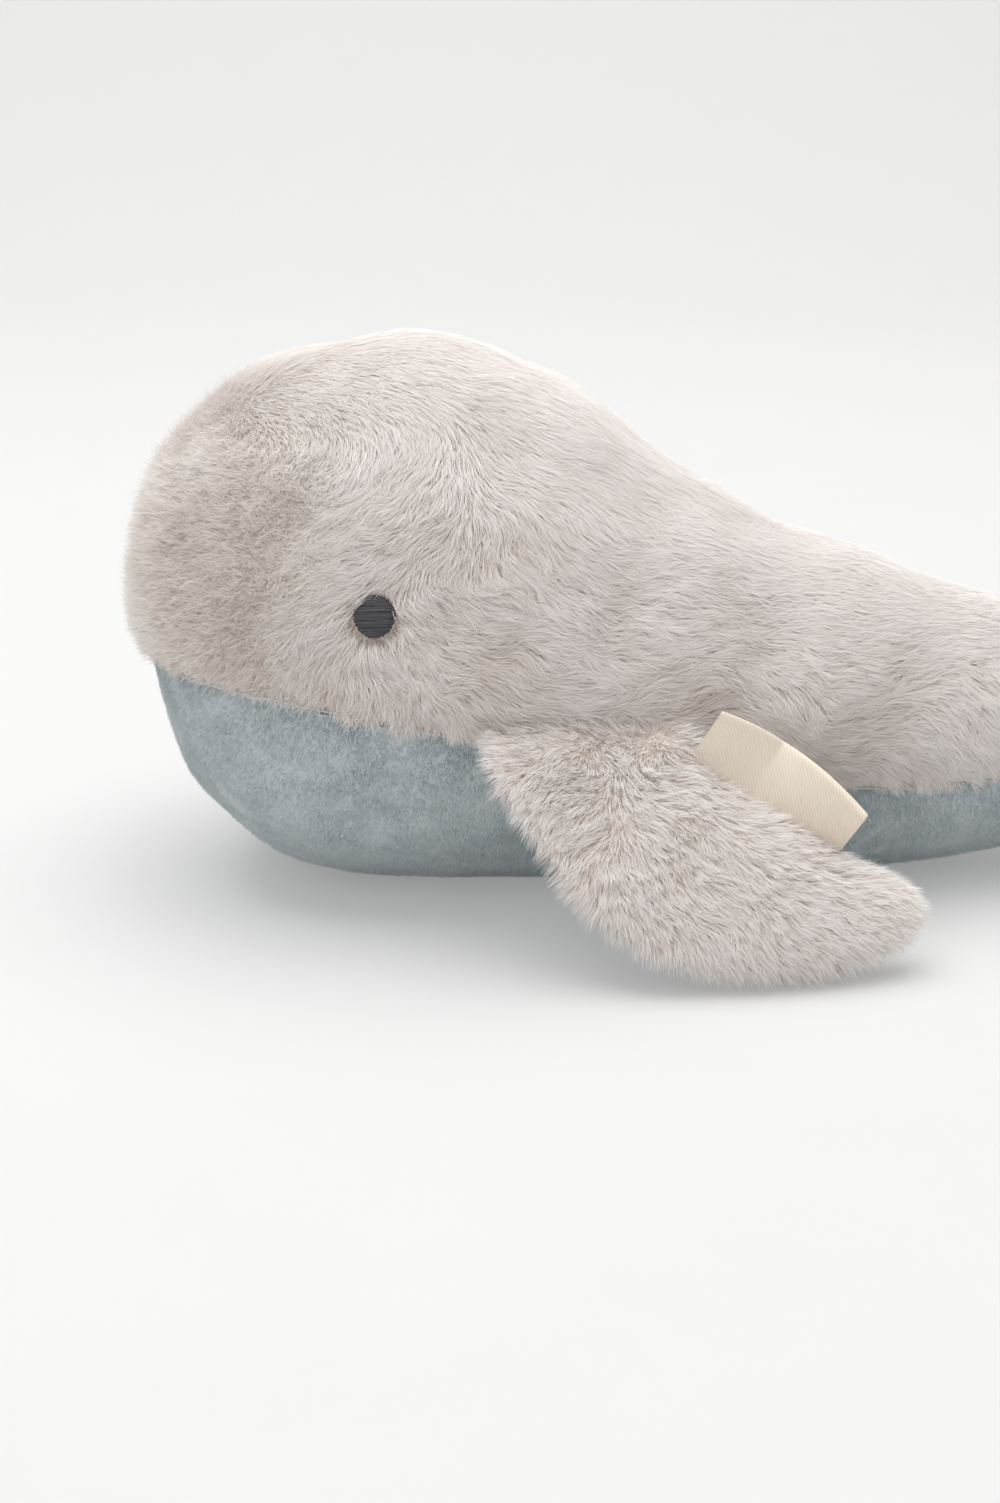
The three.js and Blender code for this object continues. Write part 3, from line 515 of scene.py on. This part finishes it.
# how the nap lies where it was looked at: x, z, way it points (0 to the tail, 90 down, 180 to the nose), lean
# from upright, and how brown it is
nap = np.array([
    (-48, 146, 112, 78, 0), (-33, 148, 95, 78, 0), (-17, 149, 70, 78, 0), (0, 145, 45, 78, 0), (17, 136, 30, 78, 0),
    (-66, 140, 135, 66, 0.1), (-54, 141, 125, 70, 0.05), (-32, 145, 98, 78, 0), (-23, 139, 105, 78, 0),
    (-36, 136, 108, 76, 0), (-26, 127, 120, 76, 0.1), (-21, 125, 132, 76, 0.1), (-15, 132, 150, 77, 0.05),
    (-9, 140, 60, 58, 0.35), (-8, 132, 90, 70, 0.15), (-1, 131, 30, 76, 0.05), (5, 129, 38, 77, 0.05),
    (12, 115, 38, 77, 0.05), (-15, 124, 148, 76, 0.1), (-7, 124, 60, 72, 0.1), (-12, 117, 148, 75, 0.15),
    (-3, 120, 35, 75, 0.1), (-21, 115, 143, 76, 0.2), (-26, 110, 155, 76, 0.15), (-21, 108, 160, 75, 0.2),
    (-9, 108, 145, 68, 0.45), (-1, 111, 80, 66, 0.4), (4, 110, 45, 75, 0.15), (10, 99, 52, 76, 0.1),
    (15, 91, 38, 77, 0.1), (23, 88, 15, 77, 0.15), (-15, 101, 30, 68, 0.5), (-4, 99, 8, 64, 0.7),
    (-21, 95, 8, 76, 0.25), (-15, 89, 15, 76, 0.2), (1, 87, -5, 76, 0.25), (25, 126, 12, 77, 0), (36, 111, 8, 77, 0),
    (41, 96, 4, 77, 0.1), (48, 112, 10, 77, 0), (-83, 128, 150, 58, 0.15), (-94, 114, 165, 50, 0.3),
    (-70, 129, 145, 52, 0.35), (-54, 129, 132, 60, 0.25), (-46, 125, 135, 55, 0.5), (-40, 120, 135, 62, 0.35),
    (-54, 116, 140, 38, 0.85), (-67, 108, 150, 34, 0.8), (-78, 111, 150, 40, 0.55), (-93, 97, 165, 40, 0.3),
    (-99, 79, 160, 42, 0.15), (-67, 95, 150, 34, 0.9), (-50, 101, 152, 52, 0.5), (-71, 86, 140, 34, 0.85),
    (-84, 89, 150, 36, 0.6), (-49, 96, 152, 62, 0.35), (-37, 104, 158, 72, 0.2), (-46, 109, 150, 66, 0.3),
    (-54, 87, 148, 62, 0.3), (-47, 88, 150, 66, 0.2), (-42, 81, 120, 60, 0.35), (-63, 77, 115, 50, 0.6),
    (-76, 76, 115, 42, 0.5), (-92, 73, 120, 45, 0.25), (-33, 80, 35, 68, 0.3), (-24, 70, 80, 55, 0.6),
    (-41, 72, 80, 60, 0.35), (-53, 70, 95, 58, 0.3), (-15, 77, 15, 74, 0.2), (0, 80, 15, 68, 0.6),
    (0, 70, 20, 68, 0.5), (-10, 65, 40, 70, 0.35), (0, 62, 20, 62, 0.7), (12, 134, 25, 77, 0), (17, 124, 30, 77, 0),
    (28, 126, 18, 77, 0), (17, 104, 30, 76, 0.1), (33, 102, 6, 77, 0.1), (33, 83, 5, 76, 0.15),
    (15, 75, 10, 74, 0.35), (26, 68, 0, 70, 0.55), (41, 70, -5, 68, 0.6), (53, 65, -20, 66, 0.6),
    (63, 68, 45, 70, 0.3), (47, 81, 4, 76, 0.15), (56, 85, 4, 77, 0.1), (56, 96, 8, 77, 0.05), (76, 92, -15, 76, 0),
    (76, 83, -8, 76, 0.05), (96, 87, -8, 77, 0), (94, 75, -8, 76, 0.1), (78, 63, 60, 66, 0.5), (73, 58, 40, 64, 0.5),
    (88, 51, 0, 70, 0.35), (94, 56, -12, 72, 0.3), (105, 61, -25, 70, 0.3), (108, 69, -25, 72, 0.25),
    (118, 70, -35, 72, 0.2), (128, 61, 40, 72, 0.15), (115, 50, 15, 72, 0.2), (122, 43, 60, 68, 0.15),
    (108, 41, 25, 70, 0.2), (133, 47, 60, 70, 0.1), (136, 59, 30, 74, 0.1), (111, 82, 5, 76, 0), (136, 75, 20, 76, 0),
    (71, 100, 12, 77, 0), (200, 45, 10, 66, 0.15),
])


def napAt(points):
    # angle, lean and brownness between the guides, nearer ones counting for more
    total, sums = 0, 0
    for x, z, angle, lean, brown in nap:
        near = 1 / ((points[:, 0] - x) ** 2 + (points[:, 2] - z) ** 2 + coat["blur"]) ** 2
        way = np.radians(angle)
        total = total + near
        sums = sums + near[:, None] * np.array([np.cos(way), np.sin(way), np.radians(lean), brown])
    sums = sums / total[:, None]
    return np.arctan2(sums[:, 1], sums[:, 0]), sums[:, 2], sums[:, 3]


def furFlow(points, normals, angle):
    angle = angle + coat["bend"] * bend(points) + coat["swirl"] * swirl(points)
    back = unit(np.array([1, 0, 0]) - normals * normals[:, :1])
    # along the top seam the nap lies towards the tail, and fans out from there down both sides
    side = -np.tanh((points[:, 1] + coat["partingSwirl"] * swirl(points)) / coat["parting"])
    angle = angle * np.abs(side) * (1 - coat["combed"] * smooth(normals[:, 2], *coat["combedFrom"]))
    down = np.cross([1, 0, 0], normals) * np.sign(side)[:, None]
    way = back * np.cos(angle)[:, None] + down * np.sin(angle)[:, None]
    return unit(way - normals * (way * normals).sum(1)[:, None])


def backFur():
    beforeEnd = skin[..., 0] < hinge[0] + coat["pastHinge"]
    keep = (above > coat["overSeam"]) & (fromEye(skin) > eye["bare"]) & beforeEnd
    roots, normals = scatter(skin, skinNormals, furField["density"], keep)
    order = np.lexsort((roots[:, 0], roots[:, 1] > 0))
    roots, normals = roots[order], normals[order]
    upward = normals[:, 2]
    angle, lean, brown = napAt(roots)
    shortest, longest = furField["faceLength"], furField["backLength"]
    length = shortest + (longest - shortest) * smooth(lean, *np.radians(coat["longFrom"]))
    length *= 1 - 0.5 * smooth(roots[:, 0], hinge[0] - coat["tailTaper"], hinge[0])
    fuzz = smooth(-lean, *np.radians(coat["fuzzyTo"]))
    hem = smooth(-overSeam(roots), *coat["hem"])  # ragged ends hang over the belly
    lean = np.maximum(lean, np.radians(coat["crownLean"]) * smooth(upward, *coat["crownFrom"]))
    rim = np.exp(-((fromEye(roots) - 1) / eye["rim"]) ** 2)
    lean = (lean * coat["press"] + 0.05 * patch(roots)) * (1 - eye["rimLift"] * rim)
    tone = coat["pale"] + coat["brown"] * brown + coat["patchTone"] * patch(roots)
    tone = tone + coat["fuzzTone"] * fuzz * swirl(roots)
    flow = furFlow(roots, normals, angle + hem * (0.5 * (np.pi / 2 - angle) + 0.3 * ragged(roots)))
    length *= 1 - coat["hemShorter"] * hem + coat["hemRagged"] * hem * ragged(roots + 50)
    loose = 1 - coat["smoothed"] * smooth(upward, *coat["smoothedFrom"])
    pile("fur_back", furField, "body", roots, normals, flow, length, lean, tone, besideEye, fuzz, loose)


backFur()

minkyField = {
    "slot": "minky", "strands": minkyStrands, "density": 6.5, "length": 2.0, "lean": 52, "width": 0.3,
    "unevenness": 0.3, "stray": 0.22, "rise": 0.8, "curl": 0.0, "curlSize": 9, "curlSeed": 100, "roll": 0.35,
    "ridge": 0.25, "bristle": 0, "speckle": 0.2, "jointed": False, "most": 90000,
    "tufts": [(1.0, 0.1, 0.2, 0.14, 60), (6, 0.0, 0.16, 0.12, 70)], "specks": [],
}


def onGround(roots, middle, tip):
    for ends in (middle, tip):
        ends[:, 2] = np.maximum(ends[:, 2], 0.05)
    return middle, tip


def bellyPile():
    keep = (above < 0.4) & (skin[..., 0] < hinge[0] + coat["pastHinge"])
    roots, normals = scatter(skin, skinNormals, minkyField["density"], keep)
    roots, normals = (a[np.argsort(roots[:, 0])] for a in (roots, normals))
    downwards = np.array([-0.35, 0.1, -1])
    flow = unit(downwards - normals * (normals @ downwards)[:, None])
    lean = np.radians(minkyField["lean"]) + 0.12 * swirl(roots)
    # darker towards the seam: painted shade of the long fur's edge that hangs over the belly there
    tone = 0.35 + 0.12 * patch(roots) + 0.45 * smooth(overSeam(roots), -7, 0)
    pile("minky_pile_belly", minkyField, "body", roots, normals, flow, minkyField["length"], lean, tone, onGround)


bellyPile()

panels = {"out": 0.3, "ground": 0.6, "bodyFill": 0.9, "limbFill": 0.8, "bodyDepth": (1.6, 0.5), "limbDepth": (1.0, 0.3)}
tow = waves(6, 30)


def cover(name, keep, material):
    points = skin + skinNormals * panels["out"]
    points[..., 2] = np.maximum(points[..., 2], panels["ground"])
    return meshPiece(name, points, gridFaces(*skin.shape[:2], keep), material)


def inside(points, normals, depth, lumps):
    # the face of the filling, a little under the cloth
    return points - normals * (depth + lumps * tow(points))[..., None]


for side, way in (("left", -1), ("right", 1)):
    half = (above > -0.5) & (skin[..., 1] * way >= -0.2)
    settle(cover(f"back_cloth_{side}", half, furBacking), node=f"back_panel_{side}")
settle(cover("belly_cloth", above < 0.6, minkyBacking), node="belly_panel")
core = skin[::3, ::3]
core = inside(core, gridNormals(core), *panels["bodyDepth"])
settle(meshPiece("body_stuffing", core, gridFaces(*core.shape[:2]), stuffing), node="body_filling")
print("body done")


# Eyes: rows of satin stitches over the cloth

satin = {
    "pitch": 0.34, "radius": 0.24, "depth": 4.1, "loft": 1.1, "steps": 16, "sides": 6, "slant": 0.05,
    "overrun": (-0.25, 0.4), "wander": 0.04, "unevenness": 0.06, "tuck": 1.4, "tuckFrom": 0.86,
}
threadFinish = Finish("eye_thread", Roughness=0.42)
twist, _ = threadFinish.uv("Thread")
eyeThread = threadFinish.look(
    Base_Color=threadFinish.mix(threadFinish.noise(0.9), (0.035, 0.034, 0.038), (0.085, 0.082, 0.09)),
    Normal=threadFinish.bump((twist * 240).wave(), 0.25, 0.05),
)


def satinEye(side, way):
    rows = np.arange(-eye["halfHeight"] + 0.2, eye["halfHeight"] - 0.1, satin["pitch"])
    points, uv, faces = [], [], []
    share = np.linspace(-1, 1, satin["steps"])
    turn = np.linspace(0, 2 * np.pi, satin["sides"], endpoint=False)
    grid = gridFaces(satin["steps"], satin["sides"])
    for row in rows:
        half = eye["halfWidth"] * np.sqrt(1 - (row / eye["halfHeight"]) ** 2)
        left, right = -half - rng.uniform(*satin["overrun"]), half + rng.uniform(*satin["overrun"])
        x = left + (right - left) * (share + 1) / 2
        z = eye["z"] + row + satin["slant"] * x + rng.normal(0, satin["wander"])
        z = z + 0.05 * np.sin(share * 3 + row * 5)
        x = eye["x"] + x
        bulge = 1 - 0.6 * share**2 - 0.5 * (row / eye["halfHeight"]) ** 2
        tuck = satin["tuck"] * smooth(np.abs(share), satin["tuckFrom"], 1)
        out = satin["depth"] + satin["loft"] * bulge - tuck + rng.normal(0, satin["unevenness"])
        y = sideAt(x, z)
        slopes = (sideAt(x + 0.5, z) - y) * 2, (sideAt(x, z + 0.5) - y) * 2
        outward = unit(np.stack([-slopes[0], np.ones_like(x), -slopes[1]], 1))
        line = np.stack([x, y, z], 1) + outward * out[:, None]
        upward = unit(np.cross(np.gradient(line, axis=0), outward))
        ring = line[:, None] + satin["radius"] * (
            outward[:, None] * np.sin(turn)[:, None] + upward[:, None] * np.cos(turn)[:, None])
        faces.append(grid + len(points) * satin["steps"] * satin["sides"])
        points.append(ring.reshape(-1, 3))
        uv.append(np.stack(np.broadcast_arrays(share[:, None] * 0.4 + 0.5, turn[None] / 7), -1).reshape(-1, 2))
    points = mirrored(np.concatenate(points), way)
    piece = meshPiece(f"eye_satin_{side}", points, np.concatenate(faces)[:, ::-way], eyeThread,
                      {"Thread": np.concatenate(uv)})
    settle(piece, node=f"eye_stitches_{side}")


satinEye("left", -1)
satinEye("right", 1)
print("eyes done")


# Flippers, in a frame whose X is the root seam towards the tail and whose -Y points outwards

flipper = {
    "reach": 82, "span": 55, "halfThickness": 7.5, "droop": 55.97,
    "middle": (25.33, -76.042, 52.147), "along": (0.981052, 0.189615, -0.039794),
    "leadingShares": [(-0.325, 0), (-0.277, 0.14), (-0.185, 0.355), (-0.075, 0.61), (0.072, 0.825), (0.272, 0.96),
                      (0.506, 1), (0.723, 0.975), (0.91, 0.88), (1, 0.735)],
    "trailingShares": [(0.325, 0), (0.398, 0.088), (0.494, 0.193), (0.592, 0.296), (0.694, 0.4), (0.785, 0.483),
                       (0.876, 0.555), (0.95, 0.615), (0.995, 0.67), (1, 0.735)],
    "thicknessShares": [0.5, 0.66, 0.85, 0.97, 1, 1, 0.95, 0.84, 0.62, 0],
    "rows": 90, "columns": 96, "neckRows": 12, "neck": 12.5, "nearTip": 1.5,
}
along = unit(np.array(flipper["along"]))
level = unit(np.array([0, 1, 0]) - along * along[1])
upright = np.cross(along, level)
droop = np.radians(flipper["droop"])
inboard = level * np.cos(droop) + upright * np.sin(droop)
flipperAxes = np.array([along, inboard, np.cross(along, inboard)])


def flipperGrid():
    t = 1 - (1 - np.linspace(0, 1, flipper["rows"])) ** flipper["nearTip"]
    t[-1] = 1 - 1e-4
    size = np.array([flipper["reach"], -flipper["span"]])
    front, rear = (splineAt(flipper[key], t) * size for key in ("leadingShares", "trailingShares"))
    half = flipper["halfThickness"] * splineAt(flipper["thicknessShares"], t)[:, 0]
    turn = np.linspace(0, 2 * np.pi, flipper["columns"], endpoint=False)
    flat = (front + rear)[:, None] / 2 + (rear - front)[:, None] / 2 * np.cos(turn)[:, None]
    thick = half[:, None] * np.sin(turn)
    blade = np.concatenate([flat, thick[..., None]], -1)
    rings = [blade @ flipperAxes]
    # the neck turns from the blade's slope to level as it goes in to the body
    root, centre = blade[0] * [1, 0, 1], 0
    for k in range(1, flipper["neckRows"] + 1):
        slope = droop * (1 - k / flipper["neckRows"])
        swing = np.array([along, level * np.cos(slope) + upright * np.sin(slope),
                          upright * np.cos(slope) - level * np.sin(slope)])
        centre = centre + swing[1] * flipper["neck"] / flipper["neckRows"]
        rings.insert(0, (root @ swing + centre)[None])
    return np.concatenate(rings) + flipper["middle"]


flipperSkin = flipperGrid()
flipperTurn = np.linspace(0, 2 * np.pi, flipper["columns"], endpoint=False)
flipperFur = dict(furField, length=7.4, stray=0.22, curl=0.08, curlSeed=55, ridge=0.2, bristle=0.3,
                  tufts=[(1.8, 0.16, 0.12, 0.04, 15), (5, 0.1, 0.12, 0.03, 19)])
limbMinky = dict(minkyField, lean=50, tone=0.4)


def limbPile(name, look, attach, points, normals, keep, flowOf, leanOf=None, toneOf=None):
    roots, ways = scatter(points, normals, look["density"], keep)
    flow = unit(flowOf(roots))
    outward = (flow * ways).sum(1)
    flow = unit(flow - ways * outward[:, None])
    lean = leanOf(roots) if leanOf else look["lean"]
    tone = toneOf(roots) if toneOf else look["tone"]
    # round the rim, where the nap runs straight out of the cloth, it stands on end
    lean = np.radians(lean) * (1 - 0.7 * smooth(outward, 0.1, 0.9)) + 0.1 * patch(roots)
    pile(name, look, attach, roots, ways, flow, look["length"], lean, tone + 0.1 * patch(roots), onGround)


def limbCloths(limb, ending, attach, points, normals, upper, way=1):
    # the two panels and the filling under a limb's pile
    size, fill = points.shape[:2], panels["limbFill"]
    for part, keep, material, slot in (
        ("top", upper > -0.02, furBacking, "fur"), ("underside", upper < 0.02, minkyBacking, "minky"),
    ):
        cloth = points + normals * panels["out"]
        piece = meshPiece(f"{limb}_{part}_cloth{ending}", cloth, gridFaces(*size, keep, way), material)
        settle(piece, attach, f"{limb}_{part}{ending}")
    core = inside(points, normals, *panels["limbDepth"])
    piece = meshPiece(f"{limb}_stuffing{ending}", core, gridFaces(*size, None, way), stuffing)
    settle(piece, attach, f"{limb}_filling{ending}")


def makeFlipper(side, way):
    points = mirrored(flipperSkin, way)
    normals = gridNormals(points, way)
    upper = np.broadcast_to(np.sin(flipperTurn), points.shape[:2])
    root = mirrored(np.array(flipper["middle"]), way)
    inwards = mirrored(level, way) * mm * flipper["neck"]
    attach = ("body", f"flipper_{side}", tuple(root * mm + inwards), tuple(root * mm))
    axes = flipperAxes * [1, way, 1]

    def inFlipper(roots):
        return ((roots - root) @ axes.T).T

    def outwards(roots):
        # fanned from the root to the edges and the tip
        x, y, _ = inFlipper(roots)
        x = 1.6 * (x - 4) + 12 * bend(roots) + 12 * swirl(roots)
        return axes[0] * x[:, None] + axes[1] * (y - 22)[:, None]

    def furLean(roots):
        # the pile lies flatter towards the tip
        return 58 + 4 * smooth(inFlipper(roots)[0], 30, 80)

    def furTone(roots):
        # browner in one soft patch, and paler along the root as painted light against the shade the body casts there
        x, y, _ = inFlipper(roots)
        return 0.35 * np.exp(-((x - 14) / 22) ** 2 - ((y + 34) / 8) ** 2) - 0.1 - 0.15 * np.exp(-(y / 10) ** 2)

    limbPile(f"fur_flipper_{side}", flipperFur, attach, points, normals, upper > -0.08, outwards, furLean, furTone)
    limbPile(f"minky_pile_flipper_{side}", limbMinky, attach, points, normals, upper < 0, outwards)
    limbCloths("flipper", f"_{side}", attach, points, normals, upper, way)
    return attach


leftAttach = makeFlipper("left", 1)
makeFlipper("right", -1)
print("flippers done")


# Fluke, in a frame with its origin on the hinge line and +X towards the notch

fluke = {
    "halfSpan": 62, "chord": 62, "halfThickness": 9, "tilt": 16, "rows": 120, "columns": 80, "socket": (18.4, 17.4),
    "stationShares": [
        (-1, 0.93, 0.93, 0), (-0.97, 0.86, 1, 0.32), (-0.86, 0.7, 1.03, 0.55), (-0.68, 0.48, 1.01, 0.72),
        (-0.46, 0.26, 0.94, 0.86), (-0.28, 0.06, 0.84, 0.95), (0, 0, 0.7, 1), (0.28, 0.06, 0.84, 0.95),
        (0.46, 0.26, 0.94, 0.86), (0.68, 0.48, 1.01, 0.72), (0.86, 0.7, 1.03, 0.55), (0.97, 0.86, 1, 0.32),
        (1, 0.93, 0.93, 0),
    ],
}


def flukeGrid():
    t = (1 - np.cos(np.pi * np.linspace(0.004, 0.996, fluke["rows"]))) / 2
    across, front, rear, thick = splineAt(fluke["stationShares"], t).T
    turn = np.linspace(0, 2 * np.pi, fluke["columns"], endpoint=False)
    x = fluke["chord"] * ((front + rear)[:, None] / 2 - (rear - front)[:, None] / 2 * np.cos(turn))
    y = np.broadcast_to(fluke["halfSpan"] * across[:, None], x.shape)
    z = fluke["halfThickness"] * thick[:, None] * np.sin(turn)
    tall, wide = fluke["socket"]
    room = np.maximum(1 - (y / wide) ** 2 - (z / tall) ** 2, 0)
    x = np.maximum(x, np.sqrt(room) * tall * (room > 0))
    tilt = np.radians(fluke["tilt"])
    return np.stack([x * np.cos(tilt) - z * np.sin(tilt), y, x * np.sin(tilt) + z * np.cos(tilt)], -1) + hinge


def spreading(roots):
    way = (roots - hinge + [26, 0, 0]) * [1, 1.3, 0.4]
    return unit(way) + 0.3 * swirl(roots)[:, None] * np.array([0.3, 1, 0])


flukeSkin = flukeGrid()
flukeNormals = gridNormals(flukeSkin)
flukeUpper = np.broadcast_to(np.sin(np.linspace(0, 2 * np.pi, fluke["columns"], endpoint=False)), flukeSkin.shape[:2])
flukeAttach = ("body", "fluke", tuple((hinge - [8, 0, 0]) * mm), tuple((hinge + [14, 0, 0]) * mm))
flukeFur = dict(flipperFur, length=6.2, lean=66, tone=0.12)
limbPile("fur_fluke_top", flukeFur, flukeAttach, flukeSkin, flukeNormals, flukeUpper > -0.16, spreading)
limbPile("minky_pile_fluke_underside", limbMinky, flukeAttach, flukeSkin, flukeNormals, flukeUpper < 0, spreading)
limbCloths("fluke", "", flukeAttach, flukeSkin, flukeNormals, flukeUpper)
print("fluke done")


# Label: a ribbon folded double and sewn into the flipper's rear seam

label = {
    "height": 18.5, "cloth": 0.5, "loop": 1.3, "gap": 0.3, "shift": 2.5, "clear": 0.6, "endShares": (0, 0.56),
    "leans": (50, 20, 64), "creaseShare": 0.4, "rows": 90, "sideSteps": 20, "arcSteps": 8, "sewnIn": 1.5,
}
ribbonFinish = Finish("ribbon", Roughness=0.72)
warp, weft = ribbonFinish.uv("Weave")
twill = (warp * 255 + weft * 222).wave() * 0.7 + (warp * 700).wave() * 0.3
ribbonCloth = ribbonFinish.look(
    Base_Color=ribbonFinish.mix(
        ribbonFinish.noise(5) * 0.4 + twill * 0.35 + 0.3, (0.93, 0.84, 0.72), (0.80, 0.69, 0.56)),
    Normal=ribbonFinish.bump(twill, 0.6, 0.15),
)


def makeLabel():
    size = np.array([flipper["reach"], -flipper["span"]])
    inner, outer = splineAt(flipper["trailingShares"], np.array(label["endShares"])) * size
    run = unit(outer - inner)
    away = np.array([-run[1], run[0]])
    inner, outer = (end - run * label["shift"] + away * label["clear"] for end in (inner, outer))
    foot, fold = label["gap"] / 2 + label["cloth"] / 2, label["loop"] / 2 + label["cloth"] / 2
    tip = label["height"] - label["loop"] / 2 - label["cloth"]
    rise = np.linspace(-label["sewnIn"], tip, label["sideSteps"])
    depth = foot + (fold - foot) * smooth(rise, 0, tip)
    arc = np.linspace(np.pi / 2, -np.pi / 2, label["arcSteps"])[1:-1]
    path = np.concatenate([
        np.stack([rise, depth], 1), np.stack([tip + fold * np.cos(arc), fold * np.sin(arc)], 1),
        np.stack([rise, -depth], 1)[::-1],
    ])
    share = np.linspace(0, 1, label["rows"])
    lean = np.radians(np.interp(share, (0, label["creaseShare"], 1), label["leans"]))[:, None]
    side = unit(np.gradient(path, axis=0) @ np.array([[0, -1], [1, 0]]))
    layers = []
    for out in (0.5, -0.5):
        up, deep = (path + side * label["cloth"] * out).T
        spread, height = up * np.cos(lean) - deep * np.sin(lean), up * np.sin(lean) + deep * np.cos(lean)
        base = inner + (outer - inner) * share[:, None]
        flat = base[:, None] + away * spread[..., None]
        layers.append(np.concatenate([flat, height[..., None]], -1))
    points = np.concatenate([layers[0], layers[1][:, ::-1]], 1) @ flipperAxes + flipper["middle"]
    rows, columns = points.shape[:2]
    faces = gridFaces(rows, columns)
    half = columns // 2
    ends = []
    for start, flip in ((0, False), ((rows - 1) * columns, True)):
        for j in range(half - 1):
            quad = [start + j, start + j + 1, start + columns - 2 - j, start + columns - 1 - j]
            ends.append(quad if flip else quad[::-1])
    steps = np.linalg.norm(np.diff(path, axis=0), axis=1)
    travel = np.cumsum(np.append(0, steps))
    travel = np.concatenate([travel, travel[::-1]]) / travel[-1]
    uv = np.stack(np.broadcast_arrays(share[:, None], travel[None]), -1).reshape(-1, 2)
    piece = meshPiece("label_ribbon", points, np.concatenate([faces, np.array(ends)]), ribbonCloth, {"Weave": uv})
    settle(piece, leftAttach, "ribbon_label")
    width, length = np.linalg.norm(outer - inner), steps.sum()
    print(f"label {width:.1f} x {length:.1f} mm flat")


makeLabel()


# Studio

studio = {
    "aim": (0, 0, 0.033), "distance": 0.87, "elevation": 18, "lens": 72,
    "backdrop": (0.77, 0.77, 0.765), "sky": (0.46, 0.46, 0.46),
    # name, place, size and power
    "lamps": [("overhead", (-0.1, 0.15, 1.55), 2.0, 28), ("front", (-0.9, -1.9, 1.2), 1.6, 9)],
    # part of what the camera sees of the floor is its own brightness, so that its shadows stay light; far from
    # the whale it is all of it, and the world has the same grey there
    "ownLight": 0.35, "farFrom": 0.8, "farTo": 2.4,
}
sweep = {"back": 900, "radius": 700, "front": -3000, "side": 4000, "top": 4000}

camera = bpy.data.objects.new("camera", bpy.data.cameras.new("camera"))
scene.collection.objects.link(camera)
camera.data.lens, camera.data.sensor_width, camera.data.clip_end = studio["lens"], 36, 50
tilt = np.radians(studio["elevation"])
camera.location = Vector(studio["aim"]) + studio["distance"] * Vector((0, -np.cos(tilt), np.sin(tilt)))
camera.rotation_euler = (np.pi / 2 - tilt, 0, 0)
scene.camera = camera
scene.view_settings.view_transform = "Standard"

floorFinish = Finish("floor", Roughness=1.0)
grain = floorFinish.mix(floorFinish.noise(40), studio["backdrop"], (0.79, 0.79, 0.785))
rays = ("Is Camera Ray", "Is Glossy Ray", "Is Transmission Ray")
seen = sum(floorFinish.node("LightPath", {}, {}, ray) for ray in rays)
away = floorFinish.node("VectorMath", {"operation": "LENGTH"}, {0: floorFinish.node("TexCoord", {}, {}, "Object")}, 1)
away = floorFinish.node("MapRange", {"interpolation_type": "SMOOTHSTEP"},
                        {"Value": away, 1: studio["farFrom"], 2: studio["farTo"]})
ownShare = seen * (studio["ownLight"] + (1 - studio["ownLight"]) * away)
floorFinish.shareWith("Emission", studio["backdrop"], ownShare)
turn = np.linspace(0, np.pi / 2, 24)
bow = zip(sweep["back"] + sweep["radius"] * np.sin(turn), sweep["radius"] * (1 - np.cos(turn)))
line = [(sweep["front"], 0), *bow, (sweep["back"] + sweep["radius"], sweep["top"])]
rows = np.array([[(x, y, z) for x in (-sweep["side"], sweep["side"])] for y, z in line])
strips = np.arange(len(line) - 1)[:, None] * 2 + [0, 1, 3, 2]
floor = meshPiece("floor", rows, strips, floorFinish.look(Base_Color=grain))

scene.world = bpy.data.worlds.new("studio")
scene.world.use_nodes = True
sky = Nodes(scene.world.node_tree)
seen = sky.node("LightPath", {}, {}, "Is Camera Ray")
sky.feed(sky.tree.nodes["Background"], {"Color": sky.mix(seen, studio["sky"], studio["backdrop"])})

for name, place, size, power in studio["lamps"]:
    lamp = bpy.data.objects.new(name, bpy.data.lights.new(name, "AREA"))
    lamp.data.shape, lamp.data.size, lamp.data.energy = "DISK", size, power
    lamp.location = place
    lamp.rotation_euler = (-Vector(place)).to_track_quat("-Z", "Y").to_euler()
    scene.collection.objects.link(lamp)
print("studio done")
